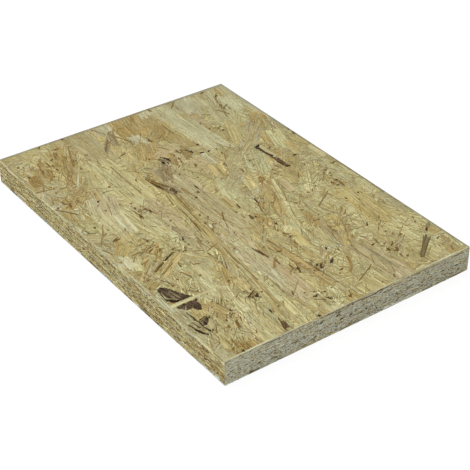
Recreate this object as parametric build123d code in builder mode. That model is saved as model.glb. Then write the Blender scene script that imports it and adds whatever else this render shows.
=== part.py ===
from build123d import *
import os

# Panel of oriented strand board, a small sawn piece with square edges.
# It lies on its underside: origin at the centre of the underside, +X along the
# long side, +Y across, +Z up. All sizes are in millimetres.

# Driving dimensions
board_length = 297.0
board_width = 210.0
board_thickness = 20.0
arris = 0.3               # break that the saw and handling leave along every edge

# Gaps in the top skin, where a face strand has come away
gap_depth = 0.8           # one face strand deep, down to the strand below
slit_depth = 1.6          # open slits go down two strands
bridge_from_end = 64.0    # the strand left standing across the largest gap
bridge_width = 3.4

# Pits between the strands, open on the sawn faces
pit_height = 0.7
pit_depth = 1.8

# Corners that the gaps are measured from: the end, then the long edge
FRONT_RIGHT = (1, -1)
BACK_LEFT = (-1, 1)
FRONT_LEFT = (-1, -1)

bridge_far_side = bridge_from_end + bridge_width

# Each gap: the corner it is measured from, how far in from the end and from the
# long edge it starts, and its outline from there (along the board, across it).
shallow_gaps = [
    # Bark patch on the far side of the bridging strand
    (FRONT_RIGHT, bridge_far_side, 5.0,
     [(0.8, 3.0), (0.0, 8.5), (0.0, 17.5), (3.8, 15.0), (10.0, 11.5), (15.0, 9.5),
      (18.5, 7.6), (20.5, 4.8), (18.6, 1.6), (13.5, 1.2), (5.5, 0.4)]),
    # Bark patch on the near side of the bridging strand
    (FRONT_RIGHT, bridge_from_end, 6.5,
     [(-0.8, 0.0), (0.0, 5.5), (-0.6, 17.0), (-3.0, 15.3), (-7.2, 15.3),
      (-9.8, 14.0), (-12.4, 12.6), (-12.0, 10.2), (-8.0, 8.8), (-7.0, 4.6), (-4.4, 2.2)]),
    # Torn end of the strand beside the long slit
    (FRONT_RIGHT, 36.5, 9.7,
     [(0.0, 2.8), (3.6, 6.6), (8.0, 8.2), (6.4, 4.6), (6.3, 1.0), (1.6, 0.4)]),
    # Bark left beside the long streak near the middle
    (FRONT_LEFT, 108.5, 82.0,
     [(0.0, 0.6), (2.2, 2.2), (4.0, 4.2), (8.4, 4.0), (12.4, 2.4), (11.4, 0.8), (5.0, 0.2)]),
    # Wide end of the slit near the far long edge
    (BACK_LEFT, 123.5, 33.6,
     [(0.0, 1.0), (0.6, 4.6), (7.6, 5.0), (14.8, 3.8), (14.6, 1.0), (6.0, 0.6)]),
]

deep_gaps = [
    # Shadowed crescent along the torn edge of the bark patch
    (FRONT_RIGHT, bridge_far_side + 0.8, 5.2,
     [(0.3, 2.6), (0.0, 7.8), (2.6, 4.2), (6.5, 1.6), (10.6, 0.8), (5.4, 0.4)]),
    # Long slit along one strand's side, from the near bark patch
    (FRONT_RIGHT, 26.0, 8.4,
     [(0.0, 3.2), (5.0, 3.0), (10.6, 1.8), (18.0, 1.7), (24.0, 1.5), (29.0, 0.7),
      (28.6, 0.0), (22.0, 0.7), (11.0, 0.8), (5.0, 1.4)]),
    # Two short slits beside it, near the long edge
    (FRONT_RIGHT, 27.0, 2.6,
     [(0.0, 4.6), (1.6, 5.4), (5.4, 3.8), (11.0, 1.7), (16.8, 0.6), (16.4, 0.0), (8.0, 0.8), (4.0, 1.9)]),
    (FRONT_RIGHT, 35.8, 5.8,
     [(0.0, 1.4), (1.2, 1.9), (5.4, 1.1), (9.0, 0.5), (8.6, 0.0), (3.6, 0.5)]),
    # Slit along the side of a strand that lies aslant
    (FRONT_RIGHT, 103.0, 15.6,
     [(0.0, 0.0), (0.2, 1.6), (4.6, 9.0), (8.8, 16.4), (12.2, 24.0), (13.2, 26.6),
      (14.6, 25.4), (10.2, 16.0), (6.2, 8.6), (2.4, 2.2)]),
    # Streak near the middle
    (FRONT_LEFT, 88.5, 75.6,
     [(0.4, 0.0), (0.0, 1.0), (6.0, 1.9), (12.0, 3.9), (24.0, 4.9), (29.0, 4.2),
      (28.0, 3.2), (24.6, 3.7), (18.0, 1.7), (9.0, 0.5)]),
    # Two holes with a splinter standing between them
    (FRONT_LEFT, 75.6, 98.6,
     [(0.0, 0.4), (0.4, 2.0), (4.2, 4.8), (6.0, 5.2), (6.2, 2.2), (2.6, 0.0)]),
    (FRONT_LEFT, 68.6, 101.8,
     [(0.0, 1.0), (3.2, 3.2), (6.0, 5.2), (11.2, 4.8), (11.0, 3.6), (8.6, 3.0), (4.0, 1.0), (1.6, 0.0)]),
    # Narrow end of the slit near the far long edge
    (BACK_LEFT, 98.4, 34.6,
     [(0.2, 0.0), (2.0, 4.6), (2.4, 5.8), (9.6, 4.8), (14.4, 4.4), (20.0, 2.6),
      (23.6, 1.2), (20.0, 0.6), (15.0, 1.9), (11.0, 2.8), (3.0, 2.0), (2.2, 0.2)]),
    (BACK_LEFT, 136.4, 33.4,
     [(0.0, 0.6), (0.0, 2.6), (2.0, 2.2), (2.2, 0.4)]),
]

# Each pit: how far along from the front corner, its height and its length. A
# negative height is measured down from the top face.
front_pits = [(21.0, 8.4, 3.2), (66.0, -3.8, 3.0), (67.0, 8.0, 5.0), (115.5, 7.8, 3.8),
              (139.5, -4.0, 3.4), (171.5, 8.0, 3.4), (188.0, 5.2, 2.6), (241.5, -7.6, 3.0)]
end_pits = [(27.5, 5.8, 2.8), (39.5, 4.0, 4.2), (56.0, 8.6, 3.0), (77.0, -5.8, 2.8),
            (91.5, -5.8, 3.0), (102.5, 9.6, 3.0), (145.5, 4.0, 2.6), (199.0, 9.2, 2.8)]


def gap_points(corner, from_end, from_edge, outline):
    """Turn a gap's outline, measured from a corner, into points on the top face."""
    end, edge = corner
    return [
        (end * (board_length / 2 - from_end - along), edge * (board_width / 2 - from_edge - across))
        for along, across in outline
    ]


def pit_level(height):
    """Height of a pit above the underside."""
    return height if height > 0 else board_thickness + height


with BuildPart() as osb_panel:
    Box(board_length, board_width, board_thickness, align=(Align.CENTER, Align.CENTER, Align.MIN))
    chamfer(osb_panel.edges(), length=arris)

    # Gaps in the top skin
    for gaps, depth in ((shallow_gaps, gap_depth), (deep_gaps, slit_depth)):
        with BuildSketch(Plane.XY.offset(board_thickness)):
            for gap in gaps:
                with BuildLine():
                    Polyline(*gap_points(*gap), close=True)
                make_face()
        extrude(amount=-depth, mode=Mode.SUBTRACT)

    # Pits in the sawn faces that meet at the front corner
    front_corner = (board_length / 2, -board_width / 2, 0)
    front_face = Plane(origin=front_corner, x_dir=(1, 0, 0), z_dir=(0, -1, 0))
    end_face = Plane(origin=front_corner, x_dir=(0, 1, 0), z_dir=(1, 0, 0))
    for face, pits, direction in ((front_face, front_pits, -1), (end_face, end_pits, 1)):
        with BuildSketch(face):
            for distance, height, length in pits:
                with Locations((direction * distance, pit_level(height))):
                    SlotOverall(length, pit_height)
        extrude(amount=-pit_depth, mode=Mode.SUBTRACT)

osb_panel.part.label = "osb_panel"

os.makedirs("parts", exist_ok=True)
export_step(osb_panel.part, "parts/osb_panel.step")
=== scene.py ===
import math
import random
from dataclasses import dataclass, replace

import bpy
import numpy as np
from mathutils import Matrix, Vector


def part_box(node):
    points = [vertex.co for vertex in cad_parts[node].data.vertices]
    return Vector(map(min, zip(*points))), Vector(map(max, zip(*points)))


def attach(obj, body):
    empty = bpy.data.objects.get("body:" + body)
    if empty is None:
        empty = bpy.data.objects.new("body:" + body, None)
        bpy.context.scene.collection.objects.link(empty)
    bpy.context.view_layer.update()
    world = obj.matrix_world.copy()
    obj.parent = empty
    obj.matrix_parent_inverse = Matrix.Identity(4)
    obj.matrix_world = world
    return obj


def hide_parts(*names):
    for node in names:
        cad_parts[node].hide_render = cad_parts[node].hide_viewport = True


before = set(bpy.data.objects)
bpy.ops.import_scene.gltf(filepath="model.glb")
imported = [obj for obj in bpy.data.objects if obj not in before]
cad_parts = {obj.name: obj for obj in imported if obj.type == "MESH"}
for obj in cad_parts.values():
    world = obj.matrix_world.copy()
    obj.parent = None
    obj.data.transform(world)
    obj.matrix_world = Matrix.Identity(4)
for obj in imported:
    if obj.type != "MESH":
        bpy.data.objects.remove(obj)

bl_info = {
    "name": "Oriented strand board panel",
    "version": (1, 0, 0),
    "blender": (4, 5, 0),
    "location": "View3D > Sidebar > Strand board",
    "description": "Lays the strands of a sawn board piece on its six faces and sets the stage",
    "category": "Add Mesh",
}

MM = 0.001
NODE = "osb_panel"
LOW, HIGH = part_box(NODE)
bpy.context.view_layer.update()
LENGTH, WIDTH, THICKNESS = HIGH - LOW


# Properties

class StrandSettings(bpy.types.PropertyGroup):
    """How the strands lie on the board's faces."""
    seed: bpy.props.IntProperty(
        name="Seed", description="Start of every random draw", default=7)
    face_relief: bpy.props.FloatProperty(
        name="Face relief", description="Depth of the pile of strands on the two faces",
        default=0.5 * MM, unit="LENGTH")
    edge_relief: bpy.props.FloatProperty(
        name="Edge relief", description="Depth of the torn fibre on the sawn faces",
        default=0.22 * MM, unit="LENGTH")
    strand_depth: bpy.props.FloatProperty(
        name="Strand thickness", description="Thickness of one pressed strand",
        default=0.3 * MM, unit="LENGTH")
    core_inset: bpy.props.FloatProperty(
        name="Core inset", description="How far the core lies under the strands",
        default=0.66 * MM, unit="LENGTH")
    arris: bpy.props.FloatProperty(
        name="Arris", description="Break along the sawn edges",
        default=0.25 * MM, unit="LENGTH")
    wide: bpy.props.IntProperty(
        name="Wide strands", description="Wide strands on one face", default=420)
    middling: bpy.props.IntProperty(
        name="Middling strands", description="Middling strands on one face", default=500)
    slivers: bpy.props.IntProperty(
        name="Slivers", description="Slivers on one face", default=2400)
    fibres: bpy.props.IntProperty(
        name="Fibres", description="Fine fibres on the top face", default=4800)
    # Some of these specks are painted shade in small openings
    specks: bpy.props.IntProperty(
        name="Specks", description="Dark bark specks on one face", default=70)
    fleck_rows: bpy.props.IntProperty(
        name="Fleck rows", description="Rows of dark flecks on a sawn face", default=40)


def tone_property(name, description, colour):
    """A colour property, from the red, green and blue of a display out of 255."""
    return bpy.props.FloatVectorProperty(
        name=name, description=description, subtype="COLOR_GAMMA", size=3, min=0, max=1,
        default=[c / 255 for c in colour])


class ToneSettings(bpy.types.PropertyGroup):
    """Colours of the strands."""
    gleam: tone_property("Gleam", "Palest fibre", (198, 191, 150))
    pale: tone_property("Pale", "Bluish white wood", (187, 182, 145))
    cream: tone_property("Cream", "Palest sapwood", (190, 182, 136))
    straw: tone_property("Straw", "Pale straw wood", (188, 179, 129))
    sand: tone_property("Sand", "Commonest strand", (182, 170, 118))
    drab: tone_property("Drab", "Greyish strand", (173, 163, 121))
    rosy: tone_property("Rosy", "Pinkish strand", (176, 161, 119))
    honey: tone_property("Honey", "Yellow resin-rich strand", (182, 166, 108))
    tan: tone_property("Tan", "Tan heartwood", (172, 153, 100))
    amber: tone_property("Amber", "Dark resin-rich strand", (162, 140, 84))
    rust: tone_property("Rust", "Orange-brown stain", (146, 119, 66))
    brown: tone_property("Brown", "Stained strand", (122, 95, 44))
    mauve: tone_property("Mauve", "Strand with a violet cast", (138, 120, 87))
    dull: tone_property("Dull", "Pale wood with little gloss", (181, 175, 136))
    blush: tone_property("Blush", "Pale pinkish wood", (184, 173, 133))
    ash: tone_property("Ash", "Grey cut end of a strand", (176, 176, 155))
    # Grey of the painted shade along the far borders of the top face
    border_shade: tone_property("Mist", "Grey cast at the far borders", (134, 131, 114))
    slate: tone_property("Slate", "Weathered grey strand", (122, 114, 82))
    umber: tone_property("Umber", "Speck of bark", (94, 66, 30))
    bark: tone_property("Bark", "Bark with a violet cast", (84, 67, 47))
    # Paints the shade at the bottom of gaps and small openings
    pit: tone_property("Pit", "Bottom of a gap", (64, 42, 8))


class StageSettings(bpy.types.PropertyGroup):
    """Camera and lamps."""
    azimuth: bpy.props.FloatProperty(
        name="Azimuth", description="Camera's turn round the board",
        default=math.radians(53.89), subtype="ANGLE")
    elevation: bpy.props.FloatProperty(
        name="Elevation", description="Camera's height above the horizon",
        default=math.radians(34.52), subtype="ANGLE")
    distance: bpy.props.FloatProperty(
        name="Distance", description="Camera to the point it looks at",
        default=950.3 * MM, unit="LENGTH")
    lens: bpy.props.FloatProperty(name="Lens", description="Focal length", default=101.57)
    sky: bpy.props.FloatProperty(
        name="Sky", description="Strength of the light from all round", default=0.58)
    key: bpy.props.FloatProperty(
        name="Key lamp", description="Power of the large soft lamp", default=8.2)


# Broad strands told apart on the top face, in the order that they lie: tone, width, then
# how far across and along from the front corner each end is, all in mm
BROAD_STRANDS = [
    # Along the short side at the front corner
    ("drab", 12, 3, -8, 5, 64), ("sand", 18, 18, -8, 21, 58), ("sand", 20, 56, -5, 52, 62),
    ("straw", 18, 74, -6, 79, 52), ("sand", 22, 93, -6, 97, 62), ("sand", 20, 120, -6, 114, 82),
    ("straw", 14, 134, -5, 131, 50), ("sand", 22, 174, -5, 178, 72),
    ("straw", 20, 194, -5, 190, 62), ("tan", 3.5, 202, -3, 203.5, 62), ("tan", 8, 21, 57, 31, 35),
    ("tan", 5, 57, 17, 71, 30), ("rosy", 6, 33, 3, 34, 13), ("tan", 4, 128, -3, 138, 13),
    ("drab", 3.5, 169, 29, 178, 38), ("straw", 6, 173, 46, 178, 50),
    # Between the bark patches and the middle
    ("rosy", 8, 144, 58, 146, 90), ("tan", 9, 142, 48, 163, 84), ("straw", 14, 170, 60, 160, 120),
    ("sand", 18, 186, 70, 192, 130), ("straw", 8, 206, 40, 205, 140),
    ("straw", 12, 35, 80, 38, 108), ("sand", 14, 52, 66, 50, 110), ("tan", 8, 50, 61, 57, 84),
    ("drab", 12, 48, 88, 46, 112), ("tan", 12, -4, 103, 36, 128), ("pale", 9, 3, 116, 8, 137),
    ("sand", 16, 22, 128, 24, 156), ("straw", 14, 46, 118, 52, 152), ("drab", 12, 57, 104, 62, 130),
    ("straw", 12, 118, 76, 128, 98), ("tan", 13, 106, 95, 120, 128),
    ("straw", 13, 114, 118, 118, 147), ("tan", 10, 152, 70, 169, 93), ("tan", 8, 140, 84, 152, 118),
    ("tan", 9, 3, 89, 14, 99), ("cream", 4, 17, 103, 19, 84), ("tan", 12, 128, 96, 143, 147),
    ("mauve", 4, 154, 134, 153, 145), ("straw", 10, 200, 112, 204, 140),
    ("tan", 6, 192, 117, 199, 127),
    # Middle to the left end
    ("rosy", 14, 62, 128, 62, 184), ("rosy", 14, 118, 163, 205, 232), ("tan", 12, 14, 208, 34, 224),
    ("tan", 5, 17, 178, 46, 190), ("drab", 7, 57, 274, 63, 293), ("tan", 9, 28, 228, 56, 293),
    ("tan", 7, 97, 114, 101, 78), ("tan", 12, 172, 148, 188, 172), ("tan", 12, 196, 222, 208, 246),
    ("tan", 7, 158, 252, 158, 238), ("honey", 5, 149, 264, 150, 276),
    ("drab", 6, 185, 250, 188, 263),
]

# Broad strands that few others cross, in the same way
CLEAN_STRANDS = [
    ("straw", 18, 40, -6, 41, 36), ("honey", 18, 184, 60, 188, 108), ("blush", 15, 82, 22, 84, 112),
    ("dull", 22, 27, 182, 36, 207), ("straw", 16, 46, 138, 40, 178),
    ("straw", 22, 60, 186, 58, 252), ("drab", 20, 66, 250, 66, 299),
    ("drab", 16, 176, 240, 190, 292), ("pale", 17, 162, 267, 169, 300),
    ("dull", 12, 194, 250, 204, 293), ("straw", 14, 114, 146, 122, 172),
    ("honey", 11, 126, 176, 130, 194), ("straw", 17, 152, 164, 166, 194),
    ("straw", 12, 190, 186, 197, 208), ("sand", 14, 166, 212, 176, 236),
    ("straw", 12, 128, 100, 122, 70), ("sand", 16, 134, -6, 131, 16),
    ("rosy", 18, 153, -8, 149, 50), ("rosy", 22, 94, 112, 95, 214),
    ("mauve", 4, 89.5, 213, 89, 197), ("tan", 5, 101.5, 80, 106, 20),
    ("straw", 8, 59.5, 14, 68, 72), ("sand", 8.5, 66.5, 66, 73, 126), ("tan", 6, 74, 132, 79, 183),
    ("pale", 13, 29, 156, 31, 179), ("dull", 20, 148, 215, 143, 300),
    ("amber", 24, 106.5, 271, 111, 300), ("pale", 9, 102, 252, 103, 268),
    ("tan", 12, 118, 250, 130, 266), ("straw", 4.5, 130, 92, 152, 152), ("tan", 9, 17, 98, 42, 114),
    ("tan", 9, 98, 239, 104, 254), ("mauve", 4, 71, 256, 90, 281), ("cream", 4, 91, 281, 98, 268),
    ("amber", 5, 153.5, 261, 154.5, 275), ("rust", 7, 6, 246, 9, 259),
    ("rust", 4, 17, 249, 24, 279), ("pale", 4, 2, 56, 2.4, 84), ("pale", 5, 2, 213, 2.4, 238),
    ("cream", 10, 35, 64, 40, 84), ("cream", 8, 43, 80, 45, 96), ("drab", 8, 206, 270, 207, 299),
    ("straw", 8, 40, 219, 46, 237), ("honey", 7, 134, 148, 138, 166),
    ("honey", 8, 134, 62, 138, 80), ("blush", 12, 150, -4, 151, 9), ("amber", 7, 10, 202, 13, 217),
    ("amber", 8, 98, 267, 100, 289), ("tan", 6, 91, 76, 94, 90), ("amber", 9, 31, 251, 35, 269),
    ("amber", 6, 41, 262, 44, 280), ("tan", 7, 33, 267, 35, 285), ("mauve", 7, 79, 197, 85, 177),
    ("mauve", 8, 97, 213, 88, 194), ("amber", 5, 26, -4, 25, 5), ("pale", 10, 128, 286, 131, 300),
    ("amber", 5, 44, 275, 46, 291), ("cream", 8, 83, 88, 84, 106), ("cream", 9, 40, 46, 44, 66),
    ("sand", 8, 194, 171, 196, 188), ("amber", 5, 2, 239, 2.4, 253), ("straw", 9, 99, 5, 101, 23),
    ("dull", 8, 131, 196, 132, 213), ("amber", 6, 106, 213, 110, 227),
    ("cream", 10, 32, 55, 38, 78), ("straw", 4, 14, 107, 25, 113), ("pale", 10, 90, 287, 91, 300),
    ("sand", 9, 108, -4, 108, 8), ("rust", 7, 6, 244, 11, 260), ("straw", 8, 9, 112, 14, 125),
    ("honey", 8, 151, 71, 155, 88), ("cream", 11, 91, -4, 91, 9), ("amber", 6, 9, 133, 15, 145),
    ("tan", 5, 2, 127, 2.6, 140), ("tan", 7, 198, 276, 201, 296),
    ("drab", 5, 207.4, 232, 207.6, 264), ("amber", 6, 25, -5, 24, 8),
    ("drab", 9, 180, 284, 181, 300), ("amber", 8, 106, 269, 107, 285), ("tan", 7, 33, 204, 36, 218),
    ("sand", 8, 110, 91, 114, 105), ("mauve", 5, 84, 262, 90, 279), ("honey", 8, 120, 69, 122, 87),
    ("sand", 6, 132, 257, 134, 271), ("cream", 9, 19, 166, 22, 191), ("cream", 8, 51, 146, 53, 166),
    ("straw", 8, 45, 206, 48, 223), ("straw", 7, 145, 180, 149, 197), ("sand", 8, 90, 7, 91, 20),
    ("amber", 6, 20, 250, 22, 267), ("cream", 5, 207, 155, 207.4, 174),
    ("rosy", 6, 156, 131, 157, 146), ("dull", 8, 176, 272, 177, 291),
    ("amber", 6, 120, 213, 124, 227), ("straw", 7, 65, 30, 66, 56), ("straw", 7, 55, 50, 58, 66),
    ("blush", 9, 80, 44, 81, 64), ("blush", 9, 76, 68, 77, 86), ("pale", 6, 8, 118, 9, 131),
    ("drab", 8, 17, 286, 17, 300), ("drab", 8, 51, 287, 51, 300), ("cream", 8, 35, 64, 38, 80),
    ("tan", 7, 106, 139, 107, 152), ("sand", 7, 164, 139, 166, 153), ("drab", 7, 83, 281, 85, 296),
    ("straw", 6, 53, 210, 55, 224), ("drab", 6, 204, 62, 206, 90), ("tan", 6, 197, -5, 197, 10),
    ("cream", 5, 42, 32, 44, 48), ("sand", 5, 67, 12, 68, 28), ("straw", 5, 11, 10, 12, 24),
    ("dull", 5, 207.4, 242, 207.6, 266), ("honey", 8, 9, 134, 17, 142),
    ("honey", 9, 14, 43, 16, 57), ("tan", 5, 172, 141, 176, 155),
]

# Bands of fine lines on the top face: their tones, how many, how broad the band is, then
# both ends of the band in the same way
STREAKS = [
    ("amber cream straw cream", 18, 7, 61, 12, 68, 82),
    ("brown rust cream cream amber", 28, 6, 69, 84, 77, 168),
    ("amber cream tan", 10, 5, 98, 84, 105, 20), ("brown mauve rust", 18, 5, 73, 214, 85, 182),
    ("mauve brown umber", 30, 7, 79, 199, 86, 174), ("mauve brown amber", 20, 9, 102, 222, 88, 196),
    ("rust brown amber", 26, 11, 30, 250, 40, 282),
    ("amber rust rust honey", 80, 11, 17, -5, 20, 16), ("rust brown amber", 8, 4, 14, 9, 25, 6),
    ("cream pale amber", 24, 22, 34, 2, 48, 40), ("cream blush straw", 30, 16, 76, 20, 85, 110),
    ("cream drab mauve", 24, 16, 152, -4, 149, 52), ("rosy cream amber", 30, 18, 94, 114, 95, 212),
    ("sand tan cream", 30, 10, 118, 163, 205, 232),
    ("cream amber straw", 24, 16, 150, 160, 168, 198),
    ("cream straw brown", 26, 18, 59, 186, 58, 250),
    ("drab brown cream", 16, 14, 176, 242, 190, 290),
    ("pale dull drab", 16, 14, 161, 264, 169, 298), ("tan amber cream", 18, 14, 184, 60, 188, 108),
    ("drab tan cream", 20, 18, 66, 252, 66, 297), ("dull drab cream", 20, 18, 148, 216, 143, 297),
    ("amber rust tan", 24, 20, 106, 271, 111, 299), ("cream amber brown", 26, 14, 46, 138, 40, 178),
    ("cream brown amber", 16, 12, 3, 98, 34, 124), ("brown cream tan", 14, 12, 12, 206, 34, 224),
    ("amber cream brown", 20, 14, 28, 232, 54, 290), ("tan cream", 10, 10, 172, 148, 188, 172),
]

# Narrow strands and lines, in the same way
NARROW_STRANDS = [
    ("cream", 3.2, 4, 65.6, 27, 65.8), ("cream", 2, 27, 65.8, 44, 66.5),
    ("cream", 2.4, 46, 110, 55, 96), ("cream", 1.2, 55, 96, 66, 82), ("rosy", 3, 12, 104, 25, 111),
    ("cream", 1.8, 0, 139, 5, 130), ("brown", 1.2, 1, 148, 5.5, 137),
    ("brown", 1.2, 20, 98.5, 33, 106), ("amber", 2.5, 6, 137, 15, 149),
    ("brown", 1.3, 31, 94, 34, 85), ("amber", 3, 50, 64, 57, 82), ("amber", 1.2, 62, 28, 66, 56),
    ("brown", 1, 65.4, 74, 67.8, 98), ("brown", 0.9, 68, 78, 72.5, 112),
    ("amber", 1.2, 71, 92, 75.5, 128), ("brown", 0.6, 73, 120, 77.4, 150),
    ("amber", 1, 63, 40, 72, 84), ("cream", 0.8, 66, 50, 75, 118),
    ("amber", 1.2, 77, 150, 79.5, 172), ("rust", 1.6, 80.5, 150, 84, 172),
    ("brown", 0.8, 73, 165, 76, 179), ("amber", 1.4, 57.6, 16, 62.4, 52),
    ("rust", 0.6, 62, 48, 66.4, 80), ("amber", 1.2, 62.6, 24, 67.6, 58),
    ("rust", 1.1, 67.6, 56, 70.6, 92), ("amber", 1.4, 66.2, 78, 69.8, 112),
    ("honey", 1.1, 69.6, 110, 74.4, 142), ("amber", 1, 70.4, 90, 74.6, 128),
    ("amber", 1.2, 74.4, 128, 77.8, 160), ("honey", 1.6, 74, 140, 77, 176),
    ("brown", 1.2, 78.6, 150, 81.8, 178), ("amber", 1.6, 76, 120, 79, 150),
    ("cream", 1, 61, 30, 65, 60), ("cream", 1, 65.4, 60, 68.6, 88),
    ("cream", 1, 68.2, 92, 71.4, 118), ("straw", 1.2, 77, 160, 79.4, 182),
    ("cream", 0.9, 74.6, 136, 77.2, 160), ("rust", 0.7, 98.6, 78, 104, 16),
    ("brown", 0.6, 104.4, 80, 110.4, 14), ("brown", 1.2, 106, 4, 110, 12),
    ("slate", 1.2, 40, 209.6, 49, 208.6), ("drab", 1.2, 49, 208.4, 66, 205),
    ("brown", 1.6, 0, 211, 11, 195.5), ("brown", 1.2, 11, 161, 18, 174),
    ("rust", 1.3, 3.5, 151.5, 10, 161), ("brown", 1.2, 53.4, 174, 57, 163),
    ("brown", 1.2, 46.5, 168, 44.6, 180), ("cream", 0.9, 43.6, 170, 45, 183),
    ("brown", 2, 41, 255, 47, 268), ("brown", 1.6, 47, 268, 53.4, 283),
    ("cream", 1.2, 44, 271, 51, 285), ("pale", 1.6, 30, 229, 46, 253),
    ("rust", 2, 36, 245, 43, 262), ("brown", 1, 31, 243, 36, 252), ("rust", 1.4, 6, 237, 11, 247),
    ("brown", 1, 57.4, 246, 61, 234), ("brown", 1.1, 0, 238.4, 14, 236),
    ("brown", 1.2, 17, 232.5, 23, 232.3), ("brown", 1.4, 89, 279, 97, 260),
    ("brown", 1.2, 80, 297, 86.4, 281), ("brown", 1, 78, 267, 86, 271),
    ("slate", 1.6, 73, 259, 84, 274), ("amber", 1.6, 95.6, 240, 101, 252),
    ("brown", 1.2, 109.5, 240.5, 114.6, 231), ("brown", 1.2, 114.4, 252.4, 117, 251),
    ("brown", 0.9, 117, 251, 124, 255.6), ("brown", 1.4, 130.6, 247, 130.8, 268),
    ("amber", 4, 124, 247, 131.4, 248.6), ("rust", 3, 115, 286, 119, 296),
    ("rust", 1.6, 99.6, 286, 101, 297), ("amber", 2, 106, 271.6, 117, 271),
    ("brown", 1.1, 90.8, 181, 92.2, 163), ("brown", 1.3, 91, 127, 96, 136.6),
    ("brown", 0.8, 88, 118, 91.4, 127), ("brown", 1.3, 120, 120, 124.4, 131),
    ("brown", 0.9, 113, 96, 120, 106), ("amber", 1, 112, 103, 119, 114),
    ("brown", 0.8, 104, 98, 110, 106), ("brown", 2.2, 102.6, 75, 101, 90),
    ("rust", 2.2, 85, 60, 92.6, 70), ("rust", 2.6, 134.4, 41.6, 129, 31),
    ("rust", 2.4, 129, 31.4, 123, 26), ("tan", 2.6, 134.6, 42, 136.8, 50),
    ("mauve", 2.2, 120, 53, 127.4, 62.6), ("brown", 0.9, 122, 15.4, 131, 19.6),
    ("brown", 0.8, 131, 19.6, 141, 24.8), ("brown", 1, 78, 30, 89, 39.4),
    ("brown", 1, 93, 20.2, 97, 19.4), ("amber", 1.1, 146, 56, 153.6, 64.6),
    ("rust", 0.9, 150, 60, 158, 74), ("brown", 1.2, 156.6, 55, 160, 49.4),
    ("slate", 3.8, 176, 12.6, 197.6, 29.2), ("brown", 0.9, 174, 11, 194, 30),
    ("brown", 0.8, 182, 15, 197, 26), ("slate", 2.8, 203, 36, 211, 41),
    ("amber", 0.9, 179.6, 10, 189, 17), ("brown", 1.5, 198.6, 4.6, 200.4, 9),
    ("cream", 0.9, 170.4, 61, 173.6, 66), ("brown", 0.8, 172, 53, 179, 60.4),
    ("brown", 1.4, 157.4, 101.8, 170.4, 110), ("cream", 0.9, 162, 103, 171.6, 108.6),
    ("brown", 0.7, 170, 110, 176, 114), ("brown", 1.2, 166, 83, 170.4, 87.2),
    ("brown", 1.2, 142, 89.4, 148, 88.6), ("amber", 1.6, 141, 88, 147, 101),
    ("amber", 1.2, 156, 76, 164, 88), ("brown", 0.9, 170, 141, 176, 150),
    ("brown", 1.2, 152, 286, 160.4, 294), ("brown", 1.6, 181, 262, 185.6, 250),
    ("brown", 1.4, 191, 278, 197, 286), ("brown", 1.1, 161, 163, 163, 156),
    ("brown", 0.9, 141, 195, 146, 203.6), ("brown", 1, 143.4, 120.6, 148, 131),
    ("cream", 1.4, 139, 101, 149, 126), ("brown", 0.8, 60.4, 118, 63, 106),
    ("brown", 0.9, 52, 109, 58.4, 105.4), ("brown", 0.9, 61, 104, 70.4, 107),
    ("brown", 0.9, 41, 133, 41.6, 122), ("brown", 1, 23, 136.6, 34, 138),
    ("brown", 1, 26, 125.4, 31, 128.6), ("slate", 1, 11, 122, 15.6, 127),
    ("mauve", 1, 22.6, 74.6, 28.6, 67.4), ("amber", 1.6, 94, 250, 96, 262),
    ("brown", 1, 105, 206, 108, 208.4), ("honey", 2.2, 71.6, 112, 75, 137),
    ("brown", 1.4, 77, 206, 84, 186),
]

# Borders of the top face: paler at the near edges, a painted highlight, and greyer at the far ones,
# painted shade
BORDER_STRANDS = [
    ("pale", 1.5, 0.4, -4, 0.7, 96), ("pale", 1.3, 0.8, 92, 0.4, 190),
    ("pale", 1.4, 0.5, 186, 0.6, 300), ("pale", 1.3, -3, 0.7, 74, 0.4),
    ("pale", 1.2, 70, 0.4, 142, 0.7), ("pale", 1.3, 138, 0.6, 213, 0.5),
    ("border_shade", 2, 209.5, -4, 209.2, 92), ("border_shade", 2.2, 209.2, 88, 209.4, 196),
    ("border_shade", 2.1, 209.4, 192, 209.2, 300), ("border_shade", 3, -3, 296, 80, 295.8),
    ("border_shade", 2.8, 76, 295.8, 150, 295.9), ("border_shade", 3, 146, 296, 213, 295.8),
]

# Knots of short crossing strands: how far across and along their middle is, half their
# width, how many there are, and which way they run in degrees from the long side
NESTS = [
    (54, 44, 6, 26, 50), (92, 16, 7, 14, 60), (96, 52, 6, 26, 40), (105, 44, 5, 16, 20),
    (112, 42, 5, 14, 60), (126, 54, 8, 22, 60), (122, 44, 4, 8, 50), (166, 28, 7, 26, 30),
    (168, 34, 5, 12, 70), (160, 74, 8, 22, 40), (152, 80, 8, 18, 60), (28, 32, 8, 26, 25),
    (32, 38, 4, 10, 60), (116, 84, 7, 20, 50), (110, 105, 9, 26, 60), (118, 118, 8, 24, 60),
    (20, 132, 10, 28, 60), (30, 128, 7, 20, 70), (46, 116, 6, 18, 60), (55, 124, 6, 18, 30),
    (50, 171, 7, 34, 20), (76, 140, 5, 14, 15), (12, 156, 8, 18, 40), (10, 215, 10, 26, 40),
    (22, 222, 9, 20, 60), (112, 222, 9, 30, 20), (126, 220, 8, 20, 60), (84, 222, 8, 24, 20),
    (76, 208, 5, 10, 20), (104, 204, 9, 18, 40), (24, 262, 12, 34, 20), (44, 262, 8, 24, 25),
    (94, 258, 6, 20, 30), (120, 258, 8, 20, 50), (188, 134, 9, 26, 50), (176, 122, 8, 16, 60),
    (190, 118, 5, 14, 20), (150, 120, 12, 22, 50), (162, 118, 8, 14, 60), (182, 62, 8, 14, 60),
    (200, 46, 6, 12, 40), (190, 264, 6, 12, 40), (163, 237, 6, 16, 50), (90, 125, 8, 18, 30),
    (100, 10, 6, 10, 40),
]
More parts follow.
